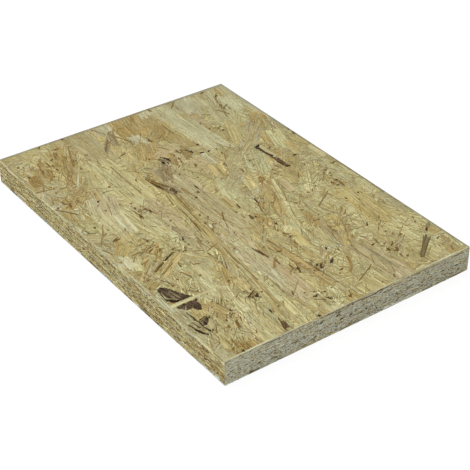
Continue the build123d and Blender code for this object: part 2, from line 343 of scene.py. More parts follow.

# Specks of bark, and small openings whose dark tone is painted shade, by tone: width, then both
# ends in the same way
SPECKS = {
    "pit": [
        (2, 120.6, 42.6, 124, 46.4), (1.8, 109.6, 250, 109.4, 257.6), (1.7, 180, 98, 181, 99.6),
        (1.6, 198.3, 32.2, 202, 35.2), (2.4, 56, 41, 57.3, 44), (1.2, 50.6, 44, 58.6, 48.5),
        (2.8, 86.6, 18.6, 88.6, 20.6), (1.8, 93, 14.6, 94.4, 11), (1.8, 94.6, 11.2, 96, 12),
        (1.9, 76.6, 0.6, 76.4, 3), (2.2, 15, 1, 16.6, 3), (1.6, 30.6, 200, 32, 203),
        (2, 124.5, 220.4, 127.8, 220.4), (1.4, 126, 217.6, 126.8, 220),
        (2.2, 130.4, 214.4, 134.4, 213.6), (1.6, 136.6, 212, 139, 213.4),
        (1.2, 117.5, 228.6, 118.8, 222.2), (1.7, 123.8, 224.2, 126, 223),
        (1.8, 136.4, 224.4, 136.6, 227.6), (2, 187.6, 169, 190, 170),
        (1.6, 191.6, 120.4, 191.2, 124), (1.3, 53.8, 22.6, 54.3, 25.4), (1.6, 156.6, 42, 158.8, 42),
        (1.1, 198.6, 21, 202, 22.6), (1.6, 127, 56.4, 130, 59.4), (1.5, 53.8, 124.4, 54.4, 127),
        (1.3, 100.4, 173, 100.8, 178), (1.5, 92.2, 162.6, 92.4, 165), (1.3, 124.6, 131, 125.8, 138),
        (1.6, 118.4, 101.4, 119.4, 103.4), (1.5, 117.2, 84, 118.8, 82.6),
        (1.2, 169.6, 62, 172.6, 66), (1.7, 154.4, 182, 155.6, 183), (1.1, 178, 188, 181, 190),
        (1.5, 87.6, 110.6, 88.8, 111.6), (1.3, 110.5, 134.6, 110.6, 138.4), (1.2, 53, 42, 54, 43.4),
        (1.4, 61.4, 43, 62.4, 44.8), (1.2, 33, 39, 34, 41.6), (1.2, 25, 32, 25.6, 34.4),
        (1.2, 156.6, 250.6, 157.6, 253), (1.3, 6.4, 259.6, 6.8, 262.4),
        (1.5, 110.4, 45.4, 111.4, 47.2), (1.3, 192.6, 99, 194, 100), (2, 193, 280.4, 195, 282.4),
    ],
    "umber": [
        (1.5, 171.6, 181, 173.4, 170.6), (2.2, 100.2, 224, 101.4, 217),
        (1.8, 103.2, 222, 104.4, 216), (3.6, 52, 3.6, 54, 12), (2.6, 110.4, 41, 114.8, 45.6),
        (2.4, 88.8, 74, 87.8, 85), (2.6, 10, 36, 11, 43), (4, 12, 41.6, 18, 43.4),
        (2, 54.4, 294.6, 56, 296), (2.2, 45.6, 164.4, 46.6, 168.6), (1.8, 52.6, 173, 54, 173.6),
        (1.6, 54.6, 167, 55.6, 171.6), (2, 97.4, 168.6, 97.8, 171), (1.5, 109.2, 115, 110, 121),
        (1.6, 112.2, 117.4, 112.6, 119), (1.6, 162.8, 120.4, 163.2, 122.2), (2, 97, 50, 99.4, 52),
        (1.6, 96, 45.6, 98, 50),
    ],
    "brown": [
        (1, 33, 11, 35, 14), (1.2, 36, 20.6, 36.2, 23), (1.2, 37, 48.6, 37.6, 51),
        (1, 44.4, 48.6, 47, 51), (1.4, 52, 50.8, 54, 51), (1.2, 30.8, 50, 31.8, 51.2),
        (1.6, 50, 66, 53.4, 67.6), (1, 57, 50, 59, 52), (1.2, 16, 31, 17, 34),
        (1.4, 22.6, 25.6, 23, 30), (1.2, 22, 38.6, 24.6, 43), (1.6, 28, 54, 29.4, 55),
        (1.2, 31, 37, 32, 38.6), (1.6, 11, 6.4, 12.6, 8), (2.2, 27.4, 21, 29.6, 28),
        (1.6, 44, 96, 47.6, 94), (1.6, 24, 88, 25, 89), (1.4, 3.4, 89, 4, 91.4),
        (2, 17, 84, 19.6, 84.4), (1.8, 32.4, 137, 33.6, 139), (1.2, 32.6, 122.6, 35.6, 125),
        (1.2, 33, 127.6, 35.4, 128.2), (1.5, 14.6, 116, 15.2, 118), (1.8, 49, 115, 50.6, 117),
        (1.6, 53, 117, 54.4, 118.4), (1.6, 46, 112, 48, 113), (2, 41, 119, 43, 120.4),
        (1.2, 44, 114.6, 45, 116), (1.4, 39, 82.4, 40, 84), (1.4, 10.6, 211.6, 9, 216),
        (2.4, 11.6, 207, 12.4, 210.4), (1.6, 2.6, 210.4, 4, 212), (1.6, 8.6, 207, 9.4, 209),
        (1.9, 29, 187.4, 30, 189), (1.2, 28, 196, 28.6, 198), (1.2, 34, 210.6, 35, 213),
        (2.6, 14, 151.4, 18, 152.6), (1.2, 27, 158, 29, 161), (1.6, 11.4, 173, 12, 175),
        (1.4, 48, 176.6, 48.4, 180), (1.6, 48.6, 184.4, 50, 186), (1.6, 60, 149.6, 61, 151),
        (1.3, 69, 209, 71, 213), (1.8, 48, 213.4, 49, 215), (2, 5.6, 277.4, 8, 278.6),
        (2.2, 42, 284.6, 46.4, 284.4), (1.3, 33, 293, 35, 295.6), (1.6, 32, 272, 34.4, 273.6),
        (1.4, 27, 265, 27.4, 273), (1.3, 29, 256, 29.4, 260), (1.3, 29, 263, 29.6, 266),
        (1.4, 22, 250, 23, 252), (1.6, 12.6, 238, 13.4, 240.4), (1.6, 12, 229.6, 13, 230.6),
        (2.4, 58, 263, 59, 264.6), (1.6, 44.4, 246, 44.6, 250), (1.6, 56, 255, 57, 257),
        (1.2, 83.6, 26, 85, 27), (1.5, 90, 22.8, 90.4, 24.2), (1.5, 95.4, 19.4, 96.8, 19.6),
        (1.3, 102, 20, 102.8, 21), (1.3, 76.6, 29, 78.4, 32.6), (1.8, 90.4, 63, 91.6, 68),
        (1.3, 95, 50, 95.6, 57), (1.2, 105, 41, 105.2, 43), (1.3, 107.4, 40, 107.6, 44),
        (1.7, 110, 52, 111, 53.4), (1.3, 134, 50, 134.8, 54), (1.4, 116.6, 29, 118, 30),
        (1.6, 120, 32, 122.6, 33), (1.4, 136, 21, 137, 22.4), (1.6, 105.4, 6, 108.6, 7),
        (1.6, 80.6, 142, 81.4, 144.6), (1.3, 84, 137, 85, 139), (1.5, 77.8, 131, 78.4, 133.4),
        (1.3, 77.4, 120.4, 77.8, 125), (1.5, 104, 130, 105, 132), (1.2, 105, 121, 105.2, 126),
        (1.2, 123, 123, 124.6, 126), (1.4, 127.6, 128, 128.6, 130), (1.3, 133, 125.6, 134, 127),
        (1.3, 114, 93.6, 115, 96.4), (1.5, 115, 89, 116, 90.4), (1.1, 116, 90, 118, 84),
        (1.8, 94, 83.6, 95, 85), (1.6, 76, 207, 77, 209), (1.5, 100, 196.4, 100.6, 198.4),
        (1.3, 106.6, 201, 107.4, 202), (1.2, 97, 209, 98, 210), (1.2, 93, 210, 94, 211),
        (1.5, 112.4, 222.6, 113, 224), (1.3, 112.8, 214, 113.2, 219), (1.2, 85.4, 220.4, 87.4, 216),
        (1.8, 117.6, 200.6, 118.6, 203), (1.5, 135.8, 187, 137.2, 192),
        (1.8, 127.4, 184.4, 128.6, 186), (1.3, 109, 186, 110, 187), (1.6, 81, 246.6, 85, 248.8),
        (1.2, 76, 243, 77, 245), (1.2, 108.2, 264, 109, 265.6), (1.3, 91, 262.6, 92, 264),
        (1.4, 123.4, 230, 124.4, 231.4), (1.6, 135.5, 296, 136, 291.6),
        (1.3, 93.6, 229, 94.6, 230.6), (2, 181, 39.4, 182.6, 40.6), (1.5, 175, 48.6, 176.4, 49.6),
        (1.2, 176.6, 43.4, 178, 45), (1.2, 183, 65, 184.6, 66.6), (1.3, 203, 50, 203.4, 52.4),
        (1.3, 200, 45.4, 201, 47), (1.3, 193.6, 13.6, 194.6, 14.4), (1.4, 144, 4, 146, 7.6),
        (1.6, 167.6, 17.6, 168.8, 18.6), (1.6, 162, 29, 162.6, 32), (1.8, 163, 26.6, 166, 28),
        (1.6, 166.6, 26, 168, 29.4), (1.3, 164.4, 20, 165.4, 23), (1.5, 168, 34, 172, 37),
        (1, 163.6, 37.6, 166.4, 39), (1.3, 162, 42, 163, 47), (1.4, 191, 114, 191.6, 120),
        (1.4, 190.8, 129.4, 192.8, 129.6), (1.6, 189.6, 134.4, 190.6, 136),
        (1.4, 193, 132.4, 194, 133.6), (1.2, 193, 137.6, 195.6, 138.6), (2.4, 185.4, 120, 187, 122),
        (1.5, 186.4, 116, 188, 117), (1.5, 178.6, 95, 180, 96), (1.1, 187, 91, 188, 93),
        (1.2, 166.4, 120.6, 169, 123.6), (1.2, 172.6, 124, 174, 126),
        (1.3, 150.6, 93.4, 151.6, 94.6), (1.2, 156, 90, 157.6, 90.6), (1.6, 144, 203, 145, 206.6),
        (1.2, 144.6, 211, 145.2, 213), (1.2, 156, 209.6, 157.2, 211.2),
        (1.2, 153.4, 174.6, 154.6, 176), (1.4, 199.4, 159.4, 200.2, 161), (1.6, 208, 195, 209, 198),
        (1.3, 208, 202, 209, 204), (1.4, 162.4, 235, 166.8, 238.4), (1.4, 165.2, 231.6, 167, 234),
        (1.3, 158, 240, 159.4, 242), (2.2, 185.6, 292.6, 188.4, 293.2),
        (1.3, 190.4, 263, 192.4, 265), (1.3, 187, 261, 189, 263.4), (1.6, 204, 142.6, 207.4, 143.4),
        (1.2, 19.4, 262, 19, 266), (1.6, 18, 259, 19.4, 262),
    ],
    "mauve": [
        (4, 100.4, 222.4, 104, 215), (3, 97.4, 219, 100.4, 213), (3.4, 80, 190, 83, 182),
    ],
    "rust": [
        (3.4, 143.2, 152, 146, 156.4), (4.6, 145.6, 157.4, 149.4, 157.6),
        (2.4, 146.4, 154, 149, 155.4), (2, 117, 199.4, 118.4, 204.4), (2, 185, 118.4, 188, 119.6),
        (1.6, 141, 170, 142.6, 177), (2, 99.8, 284, 102.6, 282), (2, 3.6, 251, 4.6, 256),
    ],
    "pale": [
        (0.9, 100.8, 221, 103.8, 218), (0.7, 102.2, 224, 104.4, 221), (2, 100.4, 213.8, 104, 214.2),
        (2.6, 110, 38.6, 110.6, 41), (1.6, 113.6, 34, 115.6, 35), (1.4, 31, 129.4, 32, 130),
        (2, 106, 250, 107.6, 254), (2.2, 156.4, 133.6, 157.8, 134.8), (2, 0, 226, 3, 234),
        (1.6, 50.4, 167, 54, 169), (1.6, 157, 13.4, 158.2, 14.6), (1.6, 118.6, 50.6, 120, 51.6),
    ],
}

# Strips of bark and splinters in the bottom of the gaps, in the same way
GAP_STRANDS = [
    ("bark", 8, 15, 67, 12, 88), ("bark", 5, 9, 69, 9, 87), ("bark", 6, 19, 67, 15, 80),
    ("bark", 9, 13, 64, 13, 55), ("bark", 6, 20, 64, 19, 51), ("bark", 7, 84, 175, 84, 191),
    ("bark", 6, 174.4, 156, 174, 173), ("bark", 8, 14, 36, 15, 46),
]
SLIT_STRANDS = [
    ("brown", 5, 74, 211, 82, 178), ("brown", 4, 15, 102, 43, 120), ("bark", 4, 170, 198, 173, 178),
]
# The pit lines among them paint the shade under the edges of the gaps
BARK_STREAKS = [
    ("mauve", 0.9, 9, 84, 12, 75), ("mauve", 0.8, 11, 84.6, 14.6, 74),
    ("mauve", 0.9, 12.6, 80, 17.6, 70), ("mauve", 0.7, 9.6, 79, 13.4, 70.6),
    ("slate", 0.7, 7.6, 82, 8.8, 74), ("mauve", 0.6, 15, 75, 18.6, 69.4),
    ("pit", 1.1, 6, 72.4, 6.6, 84), ("pit", 1.2, 7, 72, 15, 68.6), ("pit", 0.8, 12.6, 78, 14, 73),
    ("mauve", 0.8, 10, 62.4, 12.6, 58), ("mauve", 0.9, 13, 62.6, 16.4, 55.6),
    ("mauve", 0.8, 16, 62.6, 19, 55), ("pit", 1, 8, 62.8, 9, 59),
    ("pit", 0.9, 17.6, 53, 20.2, 58.6), ("mauve", 0.9, 9.6, 40, 12, 44.4),
    ("slate", 0.8, 13, 40.6, 15, 44), ("mauve", 1, 173, 173, 175.4, 161),
    ("pit", 0.9, 172.2, 161, 172.6, 172),
]
SPLINTERS = [
    ("cream", 1.2, 6.8, 75, 13, 70), ("drab", 1, 6.6, 75, 7.8, 83), ("mauve", 0.7, 11, 79, 15, 82),
    ("mauve", 0.7, 12, 74, 15, 76), ("drab", 1.6, 101, 214, 103.6, 228),
    ("drab", 0.8, 10.6, 58, 13.6, 62), ("mauve", 0.7, 14, 56, 17, 59),
    ("mauve", 0.8, 83, 179, 84, 186),
]
# Their pit lines are painted shade in the gaps
GAP_STREAKS = [
    ("pit mauve slate pit drab", 44, 9, 14, 66, 10, 87),
    ("pit mauve slate pit", 34, 9, 12, 64, 18, 53), ("pit mauve brown", 24, 6, 84, 192, 85, 176),
    ("mauve pit brown", 12, 3, 172, 180, 175, 157), ("pit slate drab", 16, 6, 9, 36, 16, 46),
    ("pit brown cream", 14, 5, 100, 214, 103, 228),
]


# Strands and the piles they make

@dataclass
class Strand:
    """One strand: its middle on the face, the way it runs, its outline and its colour."""
    at: tuple
    turn: float
    length: float
    width: float
    tone: tuple
    stations: int = 4
    taper: float = 0.0
    skew: float = 0.0
    bow: float = 0.0
    ragged: float = 0.06  # unevenness of its long edges, as a share of its width
    shade: float = 0.4  # darkness of the painted shade in the joint round it
    grain: float = 1.0  # strength of its grain
    level: float = 0.0  # how many strands it lies on
    rows: tuple = ()  # its outline, once it is laid


@dataclass
class Face:
    """One face of the board as a plane: its corner, its two directions, its normal and size."""
    name: str
    corner: Vector
    along: Vector
    across: Vector
    out: Vector
    length: float
    width: float
    cell: float

    def place(self, p, q, depth):
        """World places of points given on the face, depth under it."""
        rows = (p[:, None] * np.array(self.along), q[:, None] * np.array(self.across))
        return np.array(self.corner) + rows[0] + rows[1] - depth[:, None] * np.array(self.out)


X, Y, Z = Vector((1, 0, 0)), Vector((0, 1, 0)), Vector((0, 0, 1))
WIDE_CELL, FINE_CELL = MM, 0.4 * MM  # cells of the height grids of the faces and the sawn faces
FACES = {face.name: face for face in (
    Face("top", Vector((LOW.x, LOW.y, HIGH.z)), X, Y, Z, LENGTH, WIDTH, WIDE_CELL),
    Face("underside", Vector((HIGH.x, LOW.y, LOW.z)), -X, Y, -Z, LENGTH, WIDTH, WIDE_CELL),
    Face("front_edge", Vector(LOW), X, Z, -Y, LENGTH, THICKNESS, FINE_CELL),
    Face("back_edge", Vector((HIGH.x, HIGH.y, LOW.z)), -X, Z, Y, LENGTH, THICKNESS, FINE_CELL),
    Face("right_end", Vector((HIGH.x, LOW.y, LOW.z)), Y, Z, X, WIDTH, THICKNESS, FINE_CELL),
    Face("left_end", Vector((LOW.x, HIGH.y, LOW.z)), -Y, Z, -X, WIDTH, THICKNESS, FINE_CELL),
)}

# Look of a pile: width of the painted shade rim of its strands, how far their tones are set from
# the board's mean tone, and how much lighter they are made, most on the sawn sides as painted light
FACE_LOOK = (0.5 * MM, 1.22, 1.04)
SIDE_LOOK = (0.15 * MM, 1.35, 1.12)
END_LOOK = (0.15 * MM, 1.0, 1.05)

# Strength of the differences at the front corner of the top face, and how far it has
# fallen at the corner across from it
LIVELY, LIVELY_FALL = 1.45, 0.8

GAP_CELL = 0.25 * MM  # cell of the grid of gap depths
GAP_FLOORS = (0.5 * MM, 3 * MM)  # depths that the floor of a gap can have
LEVEL_FLOOR = 0.02 * MM  # most that the corners of a floor's triangle differ in depth
SMALLEST_TEAR = (1.6 * MM, 0.7 * MM)  # length and width that a strand needs to be torn
TEAR_LAP = 0.2 * MM  # how far the halves of a torn strand lie over each other
SAWN_STRIP = 2 * MM  # strip along the borders that the saw may touch


class Pile:
    """Strands laid one on another on a face. Each lies on the highest that it crosses."""

    def __init__(self, face, rim, contrast, light):
        self.face, self.rim, self.contrast, self.light = face, rim, contrast, light
        self.rng = random.Random(f"{bpy.context.scene.osb_strands.seed} {face.name} outlines")
        cells = (int(round(face.width / face.cell)), int(round(face.length / face.cell)))
        self.height = np.zeros(cells)
        self.top = np.zeros((*cells, 4))
        self.gap = gap_depths(face)
        self.lots = {}

    def cells_round(self, strand, grid, cell):
        """Slices of a grid round a strand, and their cells' places along and across it."""
        cos, sin = math.cos(strand.turn), math.sin(strand.turn)
        reach_p = (abs(cos) * strand.length + abs(sin) * strand.width) / 2
        reach_q = (abs(sin) * strand.length + abs(cos) * strand.width) / 2
        p, q = strand.at
        low_p = max(int((p - reach_p) / cell) - 1, 0)
        low_q = max(int((q - reach_q) / cell) - 1, 0)
        high_p = min(int((p + reach_p) / cell) + 2, grid.shape[1])
        high_q = min(int((q + reach_q) / cell) + 2, grid.shape[0])
        if low_p >= high_p or low_q >= high_q:
            return None
        dp = (np.arange(low_p, high_p) + 0.5) * cell - p
        dq = ((np.arange(low_q, high_q) + 0.5) * cell - q)[:, None]
        where = (slice(low_q, high_q), slice(low_p, high_p))
        return where, dp * cos + dq * sin, dq * cos - dp * sin

    def cells_under(self, strand, spare, grid, cell):
        """Slices of a grid round a strand, and which of their cells its rectangle covers."""
        found = self.cells_round(strand, grid, cell)
        if not found:
            return None
        where, u, v = found
        half_length, half_width = strand.length / 2 + spare, strand.width / 2 + spare
        return where, (abs(u) <= half_length) & (abs(v) <= half_width)

    def clear(self, strand, over):
        """Whether a strand keeps off the gaps deeper than those that it may lie over."""
        found = self.cells_under(strand, 0, self.gap, GAP_CELL)
        return not found or not (found[1] & (self.gap[found[0]] > over)).any()

    def lay(self, lot, strand, over=0.0):
        """Lays a strand, torn into smaller ones where it would cover a gap."""
        found = self.cells_under(strand, self.face.cell / 2, self.height, self.face.cell)
        if found is None or not found[1].any():
            return
        if not self.clear(strand, over):
            if strand.length > SMALLEST_TEAR[0] and strand.width > SMALLEST_TEAR[1]:
                for part in torn(strand):
                    self.lay(lot, part, over)
            return
        where, covered = found
        strand.level = self.height[where][covered].max() + 1
        strand.rows = outline(strand, self.rng, self.rim)
        strand.grain *= self.liveliness(strand.at)
        self.height[where][covered] = strand.level
        self.top[where][covered] = (*strand.tone, strand.turn)
        self.lots.setdefault(lot, []).append(strand)

    def liveliness(self, at):
        """How strongly strands differ at a place: most at the top face's front corner."""
        if self.face.name != "top":
            return 1.0
        away = (Vector(at) - from_corner(0, 0)).length
        return LIVELY - LIVELY_FALL * away / math.hypot(LENGTH, WIDTH)

    def beneath(self, at):
        """Tone and turn of the strand that lies uppermost at a place."""
        row = min(max(int(at[1] / self.face.cell), 0), self.top.shape[0] - 1)
        column = min(max(int(at[0] / self.face.cell), 0), self.top.shape[1] - 1)
        return self.top[row, column, :3], self.top[row, column, 3]

    def depth(self, level, relief):
        """How far a level lies under the face."""
        return relief * (1 - level / self.height.max())

    def within_borders(self, strand):
        """Whether a strand keeps off the borders and the saw, but for the slant of its ends."""
        p, q = strand.at
        cos, sin = abs(math.cos(strand.turn)), abs(math.sin(strand.turn))
        length = strand.length / 2 + SAWN_STRIP
        width = strand.width / 2 + abs(strand.bow) * strand.length + SAWN_STRIP
        reach_p, reach_q = cos * length + sin * width, sin * length + cos * width
        within_ends = reach_p < p < self.face.length - reach_p
        return within_ends and reach_q < q < self.face.width - reach_q

    def leave_out_hidden(self):
        """Takes out the strands that lie wholly under others."""
        cell = self.face.cell / 4
        cells = (int(self.face.width / cell) + 1, int(self.face.length / cell) + 1)
        covered = np.zeros(cells, bool)
        laid = [(strand, lot) for lot in self.lots for strand in self.lots[lot]]
        seen = {lot: [] for lot in self.lots}
        for strand, lot in sorted(laid, key=lambda pair: -pair[0].level):
            found = self.cells_round(strand, covered, cell)
            if not found:
                continue
            where, u, v = found
            if (within(strand, u, v, 0.1 * MM) & ~covered[where]).any():
                seen[lot].append(strand)
                covered[where] |= within(strand, u, v, 0)
        self.lots = {lot: strands for lot, strands in seen.items() if strands}


def within(strand, u, v, spare):
    """Whether places along and across a strand are in its outline, or a spare distance off."""
    (left_u, left), (right_u, right) = strand.rows[0], strand.rows[3]
    past_start = u >= max(left_u[0], right_u[0]) - spare
    before_end = u <= min(left_u[-1], right_u[-1]) + spare
    under_left = v <= np.interp(u, left_u, left) + spare
    over_right = v >= np.interp(u, right_u, right) - spare
    return past_start & before_end & under_left & over_right


def torn(strand):
    """Two halves of a strand, parted across if it is long and along if it isn't."""
    across = strand.length > 1.7 * strand.width
    reach = (strand.length if across else strand.width) / 4
    turn = strand.turn if across else strand.turn + math.pi / 2
    step = Vector((math.cos(turn), math.sin(turn))) * reach
    half = 2 * reach + TEAR_LAP
    size = (half, strand.width) if across else (strand.length, half)
    return [
        replace(strand, at=tuple(Vector(strand.at) + step * side), length=size[0], width=size[1],
                stations=3, taper=0.0, bow=0.0)
        for side in (-1, 1)
    ]


def gap_depths(face):
    """Grid of the depth of the gaps that the CAD solid has in this face."""
    grid = np.zeros((int(face.width / GAP_CELL) + 1, int(face.length / GAP_CELL) + 1))
    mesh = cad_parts[NODE].data
    mesh.calc_loop_triangles()
    spots = np.array([v.co for v in mesh.vertices]) - np.array(face.corner)
    p, q, depth = (spots @ np.array(d) for d in (face.along, face.across, -face.out))
    for triangle in mesh.loop_triangles:
        corners = np.array(triangle.vertices)
        deep = depth[corners]
        floor = np.ptp(deep) < LEVEL_FLOOR and GAP_FLOORS[0] < deep[0] < GAP_FLOORS[1]
        if floor and triangle.normal.dot(face.out) > 0.99:
            fill_triangle(grid, p[corners] / GAP_CELL, q[corners] / GAP_CELL, deep[0])
    return grid


def fill_triangle(grid, p, q, value):
    """Gives a value to the cells whose middles lie in a triangle."""
    low_p, low_q = max(int(p.min()) - 1, 0), max(int(q.min()) - 1, 0)
    high_p, high_q = int(p.max()) + 2, int(q.max()) + 2
    part = grid[low_q:high_q, low_p:high_p]
    cp = np.arange(low_p, low_p + part.shape[1]) + 0.5
    cq = (np.arange(low_q, low_q + part.shape[0]) + 0.5)[:, None]
    sides = np.array([
        (p[j] - p[i]) * (cq - q[i]) - (q[j] - q[i]) * (cp - p[i])
        for i, j in ((0, 1), (1, 2), (2, 0))])
    part[(sides >= 0).all(axis=0) | (sides <= 0).all(axis=0)] = value


# Tones

def linear(colour):
    """Scene-linear values of a display colour."""
    return tuple(c / 12.92 if c <= 0.04045 else ((c + 0.055) / 1.055) ** 2.4 for c in colour)


def tones():
    """The named tones as linear colours."""
    held = bpy.context.scene.osb_tones
    return {name: linear(getattr(held, name)) for name in ToneSettings.__annotations__}


# How often each tone is drawn, by what is laid
FACE_MIX = {
    "pale": 4, "cream": 8, "straw": 22, "sand": 32, "drab": 10, "rosy": 9, "tan": 12, "amber": 3}
FIBRE_MIX = {
    "gleam": 16, "pale": 8, "cream": 30, "straw": 14, "tan": 6, "amber": 9, "rust": 9, "brown": 12}
SLIVER_MIX = {
    "cream": 24, "straw": 16, "sand": 8, "drab": 6, "tan": 14, "amber": 16, "rust": 8, "brown": 6}
# Pit in the mixes below is painted shade in small openings between strands
SPECK_MIX = {"brown": 7, "pit": 2, "rust": 2}
NEST_MIX = {"brown": 8, "rust": 5, "amber": 4, "cream": 7, "pale": 3, "pit": 1}
SIDE_MIX = {
    "pale": 8, "cream": 26, "straw": 18, "sand": 10, "blush": 16, "honey": 7, "tan": 9, "amber": 9,
    "rust": 4, "brown": 6}
END_MIX = {"ash": 80, "dull": 10, "drab": 5, "mauve": 3, "slate": 2}
PALE_SKIN_MIX = {"pale": 6, "cream": 8, "straw": 3}
SKIN_MIX = {"tan": 4, "brown": 5, "amber": 2, "drab": 4, "slate": 3}
FOOT_MIX = {"ash": 10, "drab": 4, "slate": 2}
FLECK_MIX = {"pit": 3, "brown": 5, "amber": 1}


def varied(rng, tone, spread):
    """A tone a little lighter or darker, and a little warmer or cooler."""
    light = math.exp(rng.gauss(0, spread))
    warm = 1 + rng.gauss(0, 0.02)
    return (tone[0] * light * warm, tone[1] * light, tone[2] * light / warm)


def draw_tone(rng, mix, palette, spread=0.06):
    """A tone drawn from a mix."""
    name = rng.choices(list(mix), weights=list(mix.values()))[0]
    return varied(rng, palette[name], spread)


# Meshes of many strands

def outline(strand, rng, rim):
    """Four rows of points along a strand, as places along and across it: its left edge, the
    inner side of the rim there, the inner side of the right rim, and its right edge."""
    n = strand.stations
    step = strand.length / (n - 1)
    along = np.linspace(-strand.length / 2, strand.length / 2, n)
    along[1:-1] += [rng.uniform(-0.2, 0.2) * step for _ in range(n - 2)]
    share = along / strand.length + 0.5
    half = strand.width / 2 * (1 - strand.taper * share)
    bow = strand.bow * strand.length * (1 - (2 * share - 1) ** 2)
    left = bow + half * [1 + rng.uniform(-1, 1) * strand.ragged for _ in range(n)]
    right = bow - half * [1 + rng.uniform(-1, 1) * strand.ragged for _ in range(n)]
    slant = min(strand.skew * strand.width, 0.45 * step) * rng.uniform(0.4, 1)
    left_u, right_u = along.copy(), along.copy()
    left_u[0], right_u[0] = along[0] + slant, along[0] - slant
    left_u[-1], right_u[-1] = along[-1] - slant, along[-1] + slant
    inner = np.minimum(rim, 0.32 * (left - right))
    end = min(rim, 0.2 * step)
    pull = np.zeros(n)
    pull[0], pull[-1] = end, -end
    return [(left_u, left), (left_u + pull, left - inner), (right_u + pull, right + inner),
            (right_u, right)]


def strand_faces(n):
    """Faces of one strand with n stations of six points: four on top and two below."""
    faces = []
    for k in range(n - 1):
        a, b = 6 * k, 6 * (k + 1)
        faces += [(a + i, a + i + 1, b + i + 1, b + i) for i in range(3)]
        faces += [(a, b, b + 4, a + 4), (b + 3, a + 3, a + 5, b + 5), (a + 5, a + 4, b + 4, b + 5)]
    e = 6 * (n - 1)
    faces += [(0, 3, 2, 1), (e + 1, e + 2, e + 3, e), (3, 0, 4, 5), (e, e + 3, e + 5, e + 4)]
    return faces


def strand_mesh(name, pile, strands, relief, depth, rng):
    """One mesh of strands, each a closed slab, with what their material reads at every point."""
    places, faces, grain, tone, lay = [], [], [], [], []
    count = 0
    for strand in strands:
        rows, n = strand.rows, strand.stations
        u = np.array([r[0] for r in rows] + [rows[0][0], rows[3][0]]).T.ravel()
        v = np.array([r[1] for r in rows] + [rows[0][1], rows[3][1]]).T.ravel()
        edge = np.tile([1, 0, 0, 1, 1, 1], n)  # one on the rim, nought inside it
        under = np.tile([0, 0, 0, 0, 1, 1], n) * depth
        cos, sin = math.cos(strand.turn), math.sin(strand.turn)
        p = strand.at[0] + u * cos - v * sin
        q = strand.at[1] + u * sin + v * cos
        places.append(pile.face.place(p, q, pile.depth(strand.level, relief) + under))
        faces += [tuple(count + i for i in f) for f in strand_faces(n)]
        own, same = rng.random(), np.ones(len(u))
        grain.append(np.stack([u, v, same * own * 9], 1))
        tone.append(np.outer(same, (*livened(strand.tone, pile.contrast, pile.light), 1)))
        # The third value of Lay is the strength of the painted shade round the strand
        lay.append(np.stack([edge, same * own, same * strand.shade, same * strand.grain], 1))
        count += 6 * n
    mesh = bpy.data.meshes.new(name)
    mesh.from_pydata(np.concatenate(places), [], faces)
    for label, kind, key, rows in (("Grain", "FLOAT_VECTOR", "vector", grain),
                                   ("Tone", "FLOAT_COLOR", "color", tone),
                                   ("Lay", "FLOAT_COLOR", "color", lay)):
        held = mesh.attributes.new(label, kind, "POINT")
        held.data.foreach_set(key, np.concatenate(rows).ravel())
    piece = bpy.data.objects.new(name, mesh)
    bpy.context.scene.collection.objects.link(piece)
    return piece


def build_strands(name, pile, lot, relief, depth, rng):
    """One piece of a lot of strands. Those that reach the board's sides are sawn off there."""
    if not pile.lots.get(lot):
        raise RuntimeError(f"No strands to build {name} from")
    strands = sorted(pile.lots[lot], key=pile.within_borders)
    sawn = sum(not pile.within_borders(strand) for strand in strands)
    parts = [strand_mesh(name, pile, part, relief, depth, rng)
             for part in (strands[:sawn], strands[sawn:]) if part]
    if sawn:
        saw_off(parts[0], pile.face)
    only(parts[0])
    for part in parts[1:]:
        part.select_set(True)
        bpy.ops.object.join()
    piece = bpy.context.object
    plan_map(piece, pile.face)
    return piece


def saw_off(piece, face):
    """Cuts strands at a face's borders: mitred to the next face, with a broken arris."""
    settings = bpy.context.scene.osb_strands
    only(piece)
    bpy.ops.object.mode_set(mode="EDIT")
    far = face.corner + face.along * face.length + face.across * face.width
    borders = ((face.corner, -face.along), (face.corner, -face.across),
               (far, face.along), (far, face.across))
    for place, side in borders:
        cut(place, side - face.out)
        cut(place, side)
        cut(place - (side + face.out) * (settings.arris / 2), side + face.out)
    bpy.ops.mesh.select_all(action="SELECT")
    bpy.ops.mesh.dissolve_degenerate(threshold=1e-7)
    bpy.ops.object.mode_set(mode="OBJECT")


def cut(place, normal):
    """Bisects what is being edited, drops what lies beyond the plane and closes the cuts."""
    bpy.ops.mesh.select_all(action="SELECT")
    bpy.ops.mesh.bisect(plane_co=place, plane_no=normal.normalized(), clear_outer=True)
    bpy.ops.mesh.select_all(action="SELECT")
    bpy.ops.mesh.fill_holes(sides=0)


def plan_map(piece, face):
    """A map that looks straight at the face."""
    mesh = piece.data
    spots = np.empty(len(mesh.vertices) * 3)
    mesh.vertices.foreach_get("co", spots)
    spots = spots.reshape(-1, 3) - np.array(face.corner)
    flat = np.stack([spots @ np.array(face.along) / face.length,
                     spots @ np.array(face.across) / face.width], 1)
    corners = np.empty(len(mesh.loops), int)
    mesh.loops.foreach_get("vertex_index", corners)
    layer = mesh.uv_layers.new(name="OFBake")
    layer.uv.foreach_set("vector", flat[corners].astype(np.float32).ravel())


def only(piece):
    """Leaves one object selected and active."""
    bpy.ops.object.select_all(action="DESELECT")
    piece.select_set(True)
    bpy.context.view_layer.objects.active = piece


# Materials

GRAIN_RELIEF = 0.16 * MM  # height of the grain and the rims in the bump
ROUGHNESS_SWING = 0.08  # how much rougher dark grain is than the mean


def new_group(name, inputs, outputs):
    """An empty shader group with named sockets, and its two end nodes."""
    group = bpy.data.node_groups.new(name, "ShaderNodeTree")
    for label, kind, value in inputs:
        held = group.interface.new_socket(label, in_out="INPUT", socket_type=kind)
        if value is not None:
            held.default_value = value
    for label, kind in outputs:
        group.interface.new_socket(label, in_out="OUTPUT", socket_type=kind)
    return group, group.nodes.new("NodeGroupInput"), group.nodes.new("NodeGroupOutput")


